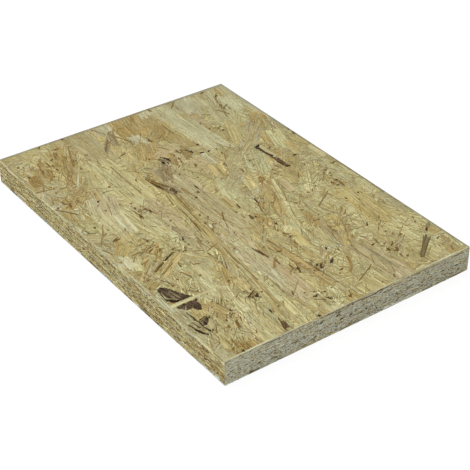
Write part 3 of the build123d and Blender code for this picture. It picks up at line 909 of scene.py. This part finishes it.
def node(tree, kind, links=(), **values):
    """A node with its properties set, and its inputs linked or given values."""
    made = tree.nodes.new(kind)
    for key, value in values.items():
        setattr(made, key, value)
    for socket, source in dict(links).items():
        if isinstance(source, bpy.types.NodeSocket):
            tree.links.new(source, made.inputs[socket])
        else:
            made.inputs[socket].default_value = source
    return made


def maths(tree, operation, a, b=0.0, c=0.0):
    """Output of a maths node."""
    return node(tree, "ShaderNodeMath", {0: a, 1: b, 2: c}, operation=operation).outputs[0]


def span(tree, value, low, high, to_low=0.0, to_high=1.0):
    """A value brought smoothly from one range to another."""
    made = node(tree, "ShaderNodeMapRange", {0: value, 1: low, 2: high, 3: to_low, 4: to_high},
                interpolation_type="SMOOTHSTEP")
    return made.outputs[0]


def noise(tree, vector, scales, detail, roughness=0.5):
    """Output of a noise whose scale differs along the three axes."""
    made = node(tree, "ShaderNodeMapping", {"Vector": vector, "Scale": scales})
    values = {"Vector": made.outputs["Vector"], "Scale": 1.0, "Detail": detail,
              "Roughness": roughness}
    return node(tree, "ShaderNodeTexNoise", values).outputs["Fac"]


def swing(tree, value, amount):
    """A noise's distance from its middle, times an amount."""
    return maths(tree, "MULTIPLY", maths(tree, "SUBTRACT", value, 0.5), amount)


def seen_rays(tree):
    """One for rays that show a surface to the camera, nought for those that light the board."""
    path = node(tree, "ShaderNodeLightPath")
    seen = maths(tree, "MAXIMUM", path.outputs["Is Camera Ray"], path.outputs["Is Glossy Ray"])
    return maths(tree, "MAXIMUM", seen, path.outputs["Is Transmission Ray"])


def shaded_colour(tree, colour, factor):
    """A colour made lighter or darker. Darker wood turns browner."""
    parts = [maths(tree, "POWER", factor, power) for power in (0.85, 1.0, 1.25)]
    shade = node(tree, "ShaderNodeCombineXYZ", dict(enumerate(parts))).outputs["Vector"]
    made = node(tree, "ShaderNodeVectorMath", {0: colour, 1: shade}, operation="MULTIPLY")
    return made.outputs["Vector"]


def grain_group():
    """Wood fibre that runs along a strand: growth bands, fine fibre and short pores."""
    group, start, end = new_group(
        "Strand grain",
        [("Grain", "NodeSocketVector", None), ("Bands", "NodeSocketFloat", 0.16),
         ("Fibre", "NodeSocketFloat", 0.2), ("Pores", "NodeSocketFloat", 0.3),
         ("Fuzz", "NodeSocketFloat", 0.1), ("Strength", "NodeSocketFloat", 1.0)],
        [("Factor", "NodeSocketFloat"), ("Height", "NodeSocketFloat")])
    vector = start.outputs["Grain"]
    bands = noise(group, vector, (10, 210, 1), 2.0)
    fibre = noise(group, vector, (40, 950, 1), 3.0, 0.7)
    pore = span(group, noise(group, vector, (90, 800, 3), 1.0), 0.6, 0.7)
    fuzz = noise(group, vector, (700, 1000, 5), 2.0, 0.7)
    fuzz_part = swing(group, fuzz, start.outputs["Fuzz"])
    band_part = swing(group, bands, start.outputs["Bands"])
    fibre_part = swing(group, fibre, start.outputs["Fibre"])
    pore_part = maths(group, "MULTIPLY", pore, start.outputs["Pores"])
    total = maths(group, "ADD", maths(group, "MULTIPLY", band_part, 2.0),
                  maths(group, "MULTIPLY", fibre_part, 2.0))
    total = maths(group, "SUBTRACT", total, pore_part)
    total = maths(group, "MULTIPLY", total, start.outputs["Strength"])
    total = maths(group, "ADD", total, maths(group, "MULTIPLY_ADD", fuzz_part, 2.0, 1.0))
    group.links.new(total, end.inputs["Factor"])
    height = maths(group, "SUBTRACT", maths(group, "ADD", bands, fibre), pore)
    group.links.new(height, end.inputs["Height"])
    return group


def rim_group():
    """Painted shade in the joint along a strand's edge, deeper in some places than in others."""
    group, start, end = new_group(
        "Strand rim",
        [("Lay", "NodeSocketColor", None), ("Grain", "NodeSocketVector", None)],
        [("Factor", "NodeSocketFloat"), ("Height", "NodeSocketFloat")])
    parts = node(group, "ShaderNodeSeparateColor", {0: start.outputs["Lay"]})
    edge = parts.outputs[0]
    patchy = noise(group, start.outputs["Grain"], (90, 260, 1), 1.0)
    depth = maths(group, "MULTIPLY", span(group, patchy, 0.3, 0.7), parts.outputs[2])
    dark = maths(group, "MULTIPLY", span(group, edge, 0.25, 1.0), depth)
    group.links.new(maths(group, "SUBTRACT", 1.0, dark), end.inputs["Factor"])
    group.links.new(maths(group, "SUBTRACT", 1.0, edge), end.inputs["Height"])
    return group


def stain_group():
    """Slow changes of lightness over the whole board."""
    group, start, end = new_group(
        "Board stain",
        [("Vector", "NodeSocketVector", None), ("Amount", "NodeSocketFloat", 0.1)],
        [("Factor", "NodeSocketFloat")])
    wide = noise(group, start.outputs["Vector"], (38, 38, 38), 3.0)
    part = swing(group, wide, start.outputs["Amount"])
    factor = maths(group, "MULTIPLY_ADD", part, 2.0, 1.0)
    group.links.new(factor, end.inputs["Factor"])
    return group


def new_material(name):
    """A new material, its node tree and its shader."""
    material = bpy.data.materials.new(name)
    material.use_nodes = True
    tree = material.node_tree
    return material, tree, tree.nodes["Principled BSDF"]


def strand_material(name, shared, roughness, stain, **amounts):
    """Material of strands: each strand's own tone with grain, painted rim shade and stain."""
    material, tree, shader = new_material(name)
    grain_at = node(tree, "ShaderNodeAttribute", attribute_name="Grain").outputs["Vector"]
    tone = node(tree, "ShaderNodeAttribute", attribute_name="Tone").outputs["Color"]
    held = node(tree, "ShaderNodeAttribute", attribute_name="Lay")
    lay, strength = held.outputs["Color"], held.outputs["Alpha"]
    place = node(tree, "ShaderNodeTexCoord").outputs["Object"]
    grain = node(tree, "ShaderNodeGroup", node_tree=shared["grain"])
    rim = node(tree, "ShaderNodeGroup", node_tree=shared["rim"])
    stain_node = node(tree, "ShaderNodeGroup", node_tree=shared["stain"])
    for label, value in amounts.items():
        grain.inputs[label].default_value = value
    stain_node.inputs["Amount"].default_value = stain
    tree.links.new(grain_at, grain.inputs["Grain"])
    tree.links.new(strength, grain.inputs["Strength"])
    tree.links.new(grain_at, rim.inputs["Grain"])
    tree.links.new(lay, rim.inputs["Lay"])
    tree.links.new(place, stain_node.inputs["Vector"])
    factor = maths(tree, "MULTIPLY", grain.outputs["Factor"], rim.outputs["Factor"])
    factor = maths(tree, "MULTIPLY", factor, stain_node.outputs["Factor"])
    tree.links.new(shaded_colour(tree, tone, factor), shader.inputs["Base Color"])
    height = maths(tree, "ADD", grain.outputs["Height"], rim.outputs["Height"])
    relief = node(tree, "ShaderNodeBump",
                  {"Height": height, "Strength": 1.0, "Distance": GRAIN_RELIEF})
    tree.links.new(relief.outputs["Normal"], shader.inputs["Normal"])
    rough = span(tree, grain.outputs["Factor"], 0.7, 1.3,
                 roughness + ROUGHNESS_SWING, roughness - ROUGHNESS_SWING)
    tree.links.new(rough, shader.inputs["Roughness"])
    shader.inputs["Specular IOR Level"].default_value = 0.15
    return material


def core_material(shared):
    """Material of the wood under the strands, seen only in the bottom of gaps. Its dark tone is
    painted shade.
    """
    material, tree, shader = new_material("Core wood")
    place = node(tree, "ShaderNodeTexCoord").outputs["Object"]
    grain = node(tree, "ShaderNodeGroup", {"Grain": place}, node_tree=shared["grain"])
    colour = shaded_colour(tree, tones()["pit"], grain.outputs["Factor"])
    tree.links.new(colour, shader.inputs["Base Color"])
    shader.inputs["Roughness"].default_value = 0.85
    return material


MATERIALS = {}


def material_named(name):
    """One of the materials, which are made at the first call."""
    if not MATERIALS:
        shared = {"grain": grain_group(), "rim": rim_group(), "stain": stain_group()}
        MATERIALS["face"] = strand_material(
            "Pressed strands", shared, 0.68, 0.12, Bands=0.35, Fibre=1.25, Pores=0.12, Fuzz=0.4)
        MATERIALS["edge"] = strand_material(
            "Sawn strands", shared, 0.8, 0.08, Bands=0.2, Fibre=0.6, Pores=0.6, Fuzz=0.9)
        MATERIALS["core"] = core_material(shared)
    return MATERIALS[name]


def finish_piece(piece, material, stands_for=()):
    """Gives a finished piece its material and body, and hides the parts that it stands for."""
    piece.data.materials.clear()
    piece.data.materials.append(material_named(material))
    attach(piece, "root")
    if stands_for:
        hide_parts(*stands_for)


# Laying the faces

GAP_LEVELS = 12  # how many levels down the strands in the gaps begin
SLIT_LEVELS = 4  # how many levels more those in the slits begin
SLAT = 2.2 * MM  # width of the slats that broad strands are split into
MOST_UNEVEN = 5 * MM  # most that the ends of slats differ
BARK_GAP, ANY_GAP = MM, 9 * MM  # deepest gap that strands of bark lie over, and splinters
MEAN_TONE = linear((0.69, 0.64, 0.463))


def mm(*sizes):
    """Sizes given in millimetres."""
    return tuple(size * MM for size in sizes)


def draw_size(rng, low, high):
    """A size between two, as often in their lower half as in their upper, by ratio."""
    return math.exp(rng.uniform(math.log(low), math.log(high)))


def from_corner(across, along):
    """Place on the top face, from the millimetres across and along from the front corner."""
    return Vector((LENGTH - along * MM, across * MM))


def livened(tone, contrast, light):
    """A tone set further from the board's mean tone, and made lighter, most on the sawn sides as
    painted light.
    """
    return tuple(light * mean * (t / mean) ** contrast for t, mean in zip(tone, MEAN_TONE))


def blended(tone, under, share):
    """A tone mixed with the tone of what lies under it."""
    return tuple(a * share + b * (1 - share) for a, b in zip(tone, under))


def lay_named(pile, lot, rows, rng, over=0.0, blend=1.0, slat=SLAT, uneven=0.1, **look):
    """Lays strands whose tone, width and ends are given, each split into slats if it is broad.
    They may lie over gaps up to a depth. A blend under one takes in the tone beneath."""
    palette = tones()
    for tone, width, *ends in rows:
        start, end = from_corner(*ends[:2]), from_corner(*ends[2:])
        run, middle = end - start, (start + end) / 2
        colour = blended(varied(rng, palette[tone], 0.02), pile.beneath(middle)[0], blend)
        strand = Strand(tuple(middle), math.atan2(run.y, run.x), run.length, width * MM, colour,
                        bow=rng.gauss(0, 0.006), skew=rng.uniform(0, 0.5), **look)
        for part in split(strand, rng, slat, uneven):
            pile.lay(lot, part, over)


def lay_streaks(pile, lot, rows, rng, over=0.0, blend=1.0, **look):
    """Lays bands of fine lines, each along a part of its band."""
    palette = tones()
    for names, count, band, *ends in rows:
        start, end = from_corner(*ends[:2]), from_corner(*ends[2:])
        run = end - start
        side = Vector((-run.y, run.x)).normalized()
        for _ in range(count):
            share = rng.uniform(0.1, 0.45)
            middle = start + run * rng.uniform(share / 2, 1 - share / 2)
            middle += side * rng.gauss(0, band / 4) * MM
            colour = varied(rng, palette[rng.choice(names.split())], 0.04)
            pile.lay(lot, Strand(
                tuple(middle), math.atan2(run.y, run.x) + rng.gauss(0, 0.05), run.length * share,
                rng.uniform(0.35, 0.8) * MM, blended(colour, pile.beneath(middle)[0], blend),
                bow=rng.gauss(0, 0.012), taper=rng.choice((0, 0.5)), **look), over)


def split(strand, rng, slat, uneven):
    """A broad strand split along its grain into uneven slats. A narrow one stays whole."""
    count = round(strand.width / slat)
    if count < 2:
        return [strand]
    across = Vector((-math.sin(strand.turn), math.cos(strand.turn)))
    along = Vector((math.cos(strand.turn), math.sin(strand.turn)))
    reach = min(uneven * strand.length, MOST_UNEVEN)
    slats = []
    for i in range(count):
        aside = ((i + 0.5) / count - 0.5) * strand.width
        ends = (rng.gauss(0, reach), rng.gauss(0, reach))
        at = Vector(strand.at) + across * aside + along * (ends[0] + ends[1]) / 2
        slats.append(replace(
            strand, at=tuple(at), length=strand.length + ends[1] - ends[0],
            width=strand.width / count * 1.3, turn=strand.turn + rng.gauss(0, uneven / 7),
            tone=varied(rng, strand.tone, 0.025), shade=strand.shade * rng.choice((0, 0.3, 0.9)),
            skew=rng.uniform(0, 1)))
    rng.shuffle(slats)
    return slats


def lay_nests(pile, lot, rng, **look):
    """Lays knots of short strands that cross each other."""
    palette = tones()
    for across, along, half, count, run in NESTS:
        middle, turn = from_corner(across, along), math.radians(run)
        for _ in range(count):
            at = middle + Vector((rng.gauss(0, 0.5), rng.gauss(0, 0.5))) * half * MM
            tone = blended(draw_tone(rng, NEST_MIX, palette), pile.beneath(at)[0], 0.6)
            length = draw_size(rng, 1.6, 8) * MM
            pile.lay(lot, Strand(
                tuple(at), turn * rng.choice((-1, 1)) + rng.gauss(0, 0.3), length,
                rng.uniform(0.4, 0.9) * MM, tone, shade=0.2, bow=rng.gauss(0, 0.03), **look))


def lay_random(pile, lot, count, rng, mix, lengths, widths, spread, blend=1.0, **look):
    """Lays strands at random, most of them near the long direction. With a blend under one,
    each takes part of its tone from what lies beneath, and turns from the way that runs."""
    palette = tones()
    face = pile.face
    for _ in range(count):
        length, width = draw_size(rng, *lengths), draw_size(rng, *widths)
        past_end, past_side = length * 0.35, length * 0.35 * 0.6
        at = (rng.uniform(-past_end, face.length + past_end),
              rng.uniform(-past_side, face.width + past_side))
        if rng.random() < 0.75:
            turn = rng.gauss(0, spread)
        else:
            turn = rng.uniform(-math.pi / 2, math.pi / 2)
        tone = draw_tone(rng, mix, palette)
        if blend < 1:
            under, run = pile.beneath(at)
            tone = blended(tone, under, min(blend * pile.liveliness(at), 1))
            turn = run + turn
        pile.lay(lot, Strand(
            at, turn, length, min(width, length * 0.4), tone, taper=rng.choice((0, 0, 0.2, 0.5)),
            skew=rng.choice((0, 0.3, 0.8)), bow=rng.gauss(0, 0.008),
            shade=rng.choice((0.05, 0.2, 0.4)), grain=rng.choice((0.5, 1, 1, 1.8)), **look))


def lay_in_gaps(pile, rng):
    """Lays the strands in the gaps of the top face, on levels of their own under the rest."""
    lot = "gap_strands"
    pile.height -= GAP_LEVELS + SLIT_LEVELS
    lay_named(pile, lot, SLIT_STRANDS, rng, ANY_GAP, stations=6, ragged=0.2, grain=3)
    pile.height += SLIT_LEVELS
    lay_named(pile, lot, GAP_STRANDS, rng, BARK_GAP, stations=6, ragged=0.2, shade=0.6, grain=4)
    lay_named(pile, lot, BARK_STREAKS, rng, BARK_GAP, 0.55,
              stations=5, ragged=0.3, taper=0.6, grain=2)
    lay_streaks(pile, lot, GAP_STREAKS, rng, BARK_GAP, 0.6, stations=3, ragged=0.3, shade=0.3)
    lay_named(pile, lot, SPLINTERS, rng, ANY_GAP, stations=5, ragged=0.3, taper=0.5)
    pile.height = np.maximum(pile.height, 0)


def lay_over_slivers(pile, rng, settings):
    """Lays what covers the slivers of the top face: clean strands, fine fibres, knots, lines."""
    fibres, slivers = settings.fibres // 2, settings.slivers // 5
    lay_random(pile, "fibres", fibres, rng, FIBRE_MIX, mm(3, 14), mm(0.3, 0.7), 0.4,
               blend=0.6, stations=2)
    lay_named(pile, "clean", CLEAN_STRANDS, rng, blend=0.7, stations=5, ragged=0.08, shade=0.12)
    lay_streaks(pile, "streaks", STREAKS, rng, blend=0.75, stations=4, ragged=0.3, shade=0.1)
    lay_random(pile, "fibres", fibres, rng, FIBRE_MIX, mm(3, 14), mm(0.3, 0.7), 0.3,
               blend=0.4, stations=2)
    lay_random(pile, "slivers", slivers, rng, SLIVER_MIX, mm(4, 28), mm(0.4, 0.8), 0.12,
               blend=0.25, stations=3)
    lay_nests(pile, "nests", rng, stations=3, ragged=0.2, taper=0.4)
    lay_named(pile, "narrow", NARROW_STRANDS, rng, blend=0.75,
              stations=6, ragged=0.25, shade=0.1, taper=0.3)
    # Pale strands paint a highlight along the near borders, grey ones paint shade along the far
    # borders
    lay_named(pile, "narrow", BORDER_STRANDS, rng, blend=0.6, stations=9, ragged=0.3, shade=0.0)


def lay_face(name):
    """Piles the strands of the top face or the underside. The listed ones are on the top."""
    settings = bpy.context.scene.osb_strands
    rng = random.Random(f"{settings.seed} {name}")
    pile = Pile(FACES[name], *FACE_LOOK)
    listed = name == "top"
    if listed:
        lay_in_gaps(pile, rng)
    lay_random(pile, "wide", settings.wide, rng, FACE_MIX, mm(55, 150), mm(8, 22), 0.42,
               stations=6)
    if listed:
        lay_named(pile, "broad", BROAD_STRANDS, rng, stations=5, ragged=0.1, shade=0.25)
    lay_random(pile, "middling", settings.middling, rng, FACE_MIX, mm(9, 45), mm(1.2, 4.5), 0.3,
               blend=0.45, stations=4)
    lay_random(pile, "slivers", settings.slivers, rng, SLIVER_MIX, mm(4, 28), mm(0.4, 1.1), 0.25,
               blend=0.45, stations=3)
    if listed:
        lay_over_slivers(pile, rng, settings)
    lay_random(pile, "specks", settings.specks, rng, SPECK_MIX, mm(1.2, 4), mm(0.5, 1.1), 0.9,
               blend=0.7, stations=3)
    if listed:
        for tone, rows in SPECKS.items():
            lay_named(pile, "specks", [(tone, *row) for row in rows], rng, blend=0.92,
                      slat=0.8 * MM, uneven=0.2, stations=4, ragged=0.3, taper=0.4, shade=0.0)
    pile.leave_out_hidden()
    return pile


def lay_row(pile, rng, mix, height, lengths, widths, cover, spread=0.1,
            shades=(0.1, 0.3, 0.7), slope=0.09):
    """Lays strands one after another along a sawn face, at about one height."""
    palette = tones()
    at = -lengths[1] * rng.random()
    while at < pile.face.length + lengths[1]:
        length = draw_size(rng, *lengths)
        if rng.random() < cover:
            place = (at + length / 2, height + rng.gauss(0, 0.25 * MM))
            pile.lay("layers", Strand(
                place, rng.gauss(0, slope), length, rng.uniform(*widths),
                draw_tone(rng, mix, palette, spread), 2, taper=rng.choice((0, 0.4, 0.8)),
                skew=0.6, ragged=0.25, shade=rng.choice(shades)))
        at += length * rng.uniform(0.6, 1.0)


@dataclass
class Sawn:
    """What a kind of sawn face shows: the look of its pile, the mix and spread of its tones,
    sweeps of layers over it and the skins along its top."""
    look: tuple
    mix: dict
    spread: float
    sweeps: tuple  # each is how many layers, then their shortest, longest, tallest and slope
    skins: tuple  # each is a mix, how far under the top it lies, and how much of it is there


SIDE = Sawn(
    SIDE_LOOK, SIDE_MIX, 0.15,
    ((14, 5, 20, 2.2, 0.04), (32, 2.4, 18, 0.9, 0.04), (32, 2.4, 14, 0.8, 0.05)),
    ((PALE_SKIN_MIX, 2.0, 0.7), (PALE_SKIN_MIX, 1.2, 0.8), (PALE_SKIN_MIX, 0.4, 1.0)))
END = Sawn(
    END_LOOK, END_MIX, 0.05,
    ((14, 4, 8, 2.4, 0.08), (26, 1.8, 6, 1.1, 0.09), (26, 1.8, 6, 1.0, 0.09)),
    ((SKIN_MIX, 1.4, 0.9),))
SAWN_FACES = {"front_edge": SIDE, "back_edge": SIDE, "right_end": END, "left_end": END}


def lay_edge(name, sawn):
    """Piles the cut strands that a sawn face shows: thin layers, one on another."""
    settings = bpy.context.scene.osb_strands
    rng = random.Random(f"{settings.seed} {name}")
    pile = Pile(FACES[name], *sawn.look)
    for layers, shortest, longest, tallest, slope in sawn.sweeps:
        heights = [THICKNESS * (layer + 0.5) / layers for layer in range(layers)]
        rng.shuffle(heights)
        for height in heights:
            lay_row(pile, rng, sawn.mix, height, mm(shortest, longest), mm(tallest / 2, tallest),
                    0.95, sawn.spread, slope=slope)
    for mix, under, cover in sawn.skins:
        lay_row(pile, rng, mix, THICKNESS - under * MM, mm(5, 20), mm(0.7, 1.3), cover,
                shades=(0, 0.2), slope=0.03)
    lay_row(pile, rng, FOOT_MIX, 0.9 * MM, mm(5, 20), mm(1.0, 2.2), 0.9)
    for _ in range(settings.fleck_rows):
        height = THICKNESS * rng.uniform(0.05, 0.95)
        lay_row(pile, rng, FLECK_MIX, height, mm(0.6, 2.2), mm(0.3, 0.7), 0.1)
    pile.leave_out_hidden()
    return pile


# Operators

MERGED = 0.001 * MM  # points nearer than this become one
FLOOR_SIZE = 8  # metres
FLOOR_GREY, FLOOR_GLOW = 0.86, 1.08  # what lights the board, and what the camera sees
FLOOR_WHITENED = 0.82  # share of the glow in what the camera sees. The rest keeps the shadow
# Each lamp's name, place, size and share of the key lamp's power
LAMPS = (("key", (-0.5, -0.35, 1.3), 0.9, 1.0), ("fill", (1.2, -0.9, 0.6), 1.2, 1.05))
CAMERA_TARGET = Vector((28.9 * MM, -9.85 * MM, THICKNESS / 2))
SENSOR_WIDTH = 36


class OSB_OT_core(bpy.types.Operator):
    """Makes the core under the strands from a copy of the solid, with its gaps"""
    bl_idname = "osb.core"
    bl_label = "Core"

    def execute(self, context):
        inset = context.scene.osb_strands.core_inset
        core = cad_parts[NODE].copy()
        core.data = core.data.copy()
        core.name = core.data.name = "core"
        for key in list(core.keys()):
            del core[key]
        core.parent = None
        context.scene.collection.objects.link(core)
        only(core)
        bpy.ops.object.mode_set(mode="EDIT")
        bpy.ops.mesh.select_all(action="SELECT")
        bpy.ops.mesh.remove_doubles(threshold=MERGED)
        bpy.ops.object.mode_set(mode="OBJECT")
        spare = Vector((inset, inset, inset))
        low, high = LOW + spare, HIGH - spare
        for vertex in core.data.vertices:
            vertex.co = [min(max(c, lo), hi) for c, lo, hi in zip(vertex.co, low, high)]
        bpy.ops.object.mode_set(mode="EDIT")
        bpy.ops.mesh.select_all(action="SELECT")
        bpy.ops.mesh.remove_doubles(threshold=MERGED)
        bpy.ops.mesh.dissolve_degenerate(threshold=MERGED)
        bpy.ops.mesh.normals_make_consistent(inside=False)
        bpy.ops.object.mode_set(mode="OBJECT")
        if not core.data.polygons:
            raise RuntimeError("The core has no faces left")
        finish_piece(core, "core", [NODE])
        return {"FINISHED"}


class OSB_OT_face_strands(bpy.types.Operator):
    """Lays the strands of the top face and the underside"""
    bl_idname = "osb.face_strands"
    bl_label = "Face strands"

    def execute(self, context):
        settings = context.scene.osb_strands
        for name in ("top", "underside"):
            pile = lay_face(name)
            if not pile.lots:
                raise RuntimeError(f"No strand lies on the {name}")
            for lot in pile.lots:
                rng = random.Random(f"{settings.seed} {name} {lot}")
                piece = build_strands(f"{name}_{lot}", pile, lot, settings.face_relief,
                                      settings.strand_depth, rng)
                finish_piece(piece, "face")
        return {"FINISHED"}


class OSB_OT_edge_strands(bpy.types.Operator):
    """Lays the cut strands of the four sawn faces"""
    bl_idname = "osb.edge_strands"
    bl_label = "Sawn faces"

    def execute(self, context):
        settings = context.scene.osb_strands
        for name, sawn in SAWN_FACES.items():
            pile = lay_edge(name, sawn)
            rng = random.Random(f"{settings.seed} {name} build")
            piece = build_strands(name, pile, "layers", settings.edge_relief,
                                  settings.strand_depth, rng)
            finish_piece(piece, "edge")
        return {"FINISHED"}


class OSB_OT_stage(bpy.types.Operator):
    """Makes the floor, the lamps and the camera"""
    bl_idname = "osb.stage"
    bl_label = "Stage"

    def execute(self, context):
        settings, scene = context.scene.osb_stage, context.scene
        if settings.distance <= 0:
            raise RuntimeError("The camera needs a distance from the board")
        scene.view_settings.view_transform = "Standard"
        self.make_floor()
        self.make_sky(scene, settings.sky)
        self.make_lamps(scene, settings.key)
        self.make_camera(scene, settings)
        return {"FINISHED"}

    def make_floor(self):
        bpy.ops.object.select_all(action="DESELECT")
        bpy.ops.mesh.primitive_plane_add(size=FLOOR_SIZE, location=(0, 0, 0))
        floor = bpy.context.object
        floor.name = "floor"
        material, tree, shader = new_material("Floor paper")
        shader.inputs["Base Color"].default_value = (FLOOR_GREY, FLOOR_GREY, FLOOR_GREY, 1)
        shader.inputs["Roughness"].default_value = 0.9
        shader.inputs["Specular IOR Level"].default_value = 0.0
        glow = node(tree, "ShaderNodeEmission", {"Color": (1, 1, 1, 1), "Strength": FLOOR_GLOW})
        part = maths(tree, "MULTIPLY", seen_rays(tree), FLOOR_WHITENED)
        mix = node(tree, "ShaderNodeMixShader",
                   {0: part, 1: shader.outputs[0], 2: glow.outputs[0]})
        tree.links.new(mix.outputs[0], tree.nodes["Material Output"].inputs["Surface"])
        floor.data.materials.append(material)

    def make_sky(self, scene, strength):
        world = bpy.data.worlds.new("Sky")
        scene.world = world
        world.use_nodes = True
        tree = world.node_tree
        level = span(tree, seen_rays(tree), 0.0, 1.0, strength, 1.0)
        back = tree.nodes["Background"]
        back.inputs["Color"].default_value = (1, 1, 1, 1)
        tree.links.new(level, back.inputs["Strength"])

    def make_lamps(self, scene, power):
        for name, place, size, share in LAMPS:
            lamp = bpy.data.lights.new(name, "AREA")
            lamp.energy, lamp.size = power * share, size
            held = bpy.data.objects.new(name, lamp)
            held.location = place
            held.rotation_euler = (-Vector(place)).to_track_quat("-Z", "Y").to_euler()
            scene.collection.objects.link(held)

    def make_camera(self, scene, settings):
        a, e = settings.azimuth, settings.elevation
        back = Vector((math.sin(a) * math.cos(e), -math.cos(a) * math.cos(e), math.sin(e)))
        lens = bpy.data.cameras.new("camera")
        lens.lens, lens.sensor_width = settings.lens, SENSOR_WIDTH
        camera = bpy.data.objects.new("camera", lens)
        camera.location = CAMERA_TARGET + back * settings.distance
        camera.rotation_euler = (-back).to_track_quat("-Z", "Y").to_euler()
        scene.collection.objects.link(camera)
        scene.camera = camera


class OSB_PT_panel(bpy.types.Panel):
    """Sizes, tones and steps of the strand board"""
    bl_idname = "OSB_PT_panel"
    bl_label = "Strand board"
    bl_space_type = "VIEW_3D"
    bl_region_type = "UI"
    bl_category = "Strand board"

    def draw(self, context):
        for held in (context.scene.osb_strands, context.scene.osb_tones, context.scene.osb_stage):
            for key in held.__annotations__:
                self.layout.prop(held, key)
        for step in STEPS:
            self.layout.operator(step.bl_idname)


SETTINGS = {"osb_strands": StrandSettings, "osb_tones": ToneSettings, "osb_stage": StageSettings}
STEPS = (OSB_OT_core, OSB_OT_face_strands, OSB_OT_edge_strands, OSB_OT_stage)
CLASSES = (*SETTINGS.values(), *STEPS, OSB_PT_panel)


def register():
    for held in CLASSES:
        bpy.utils.register_class(held)
    for name, kind in SETTINGS.items():
        setattr(bpy.types.Scene, name, bpy.props.PointerProperty(type=kind))


def unregister():
    for name in SETTINGS:
        delattr(bpy.types.Scene, name)
    for held in reversed(CLASSES):
        bpy.utils.unregister_class(held)


def main():
    register()
    for step in STEPS:
        group, name = step.bl_idname.split(".")
        if getattr(getattr(bpy.ops, group), name)() != {"FINISHED"}:
            raise RuntimeError(f"{step.bl_label} did not finish")


if __name__ == "__main__":
    main()
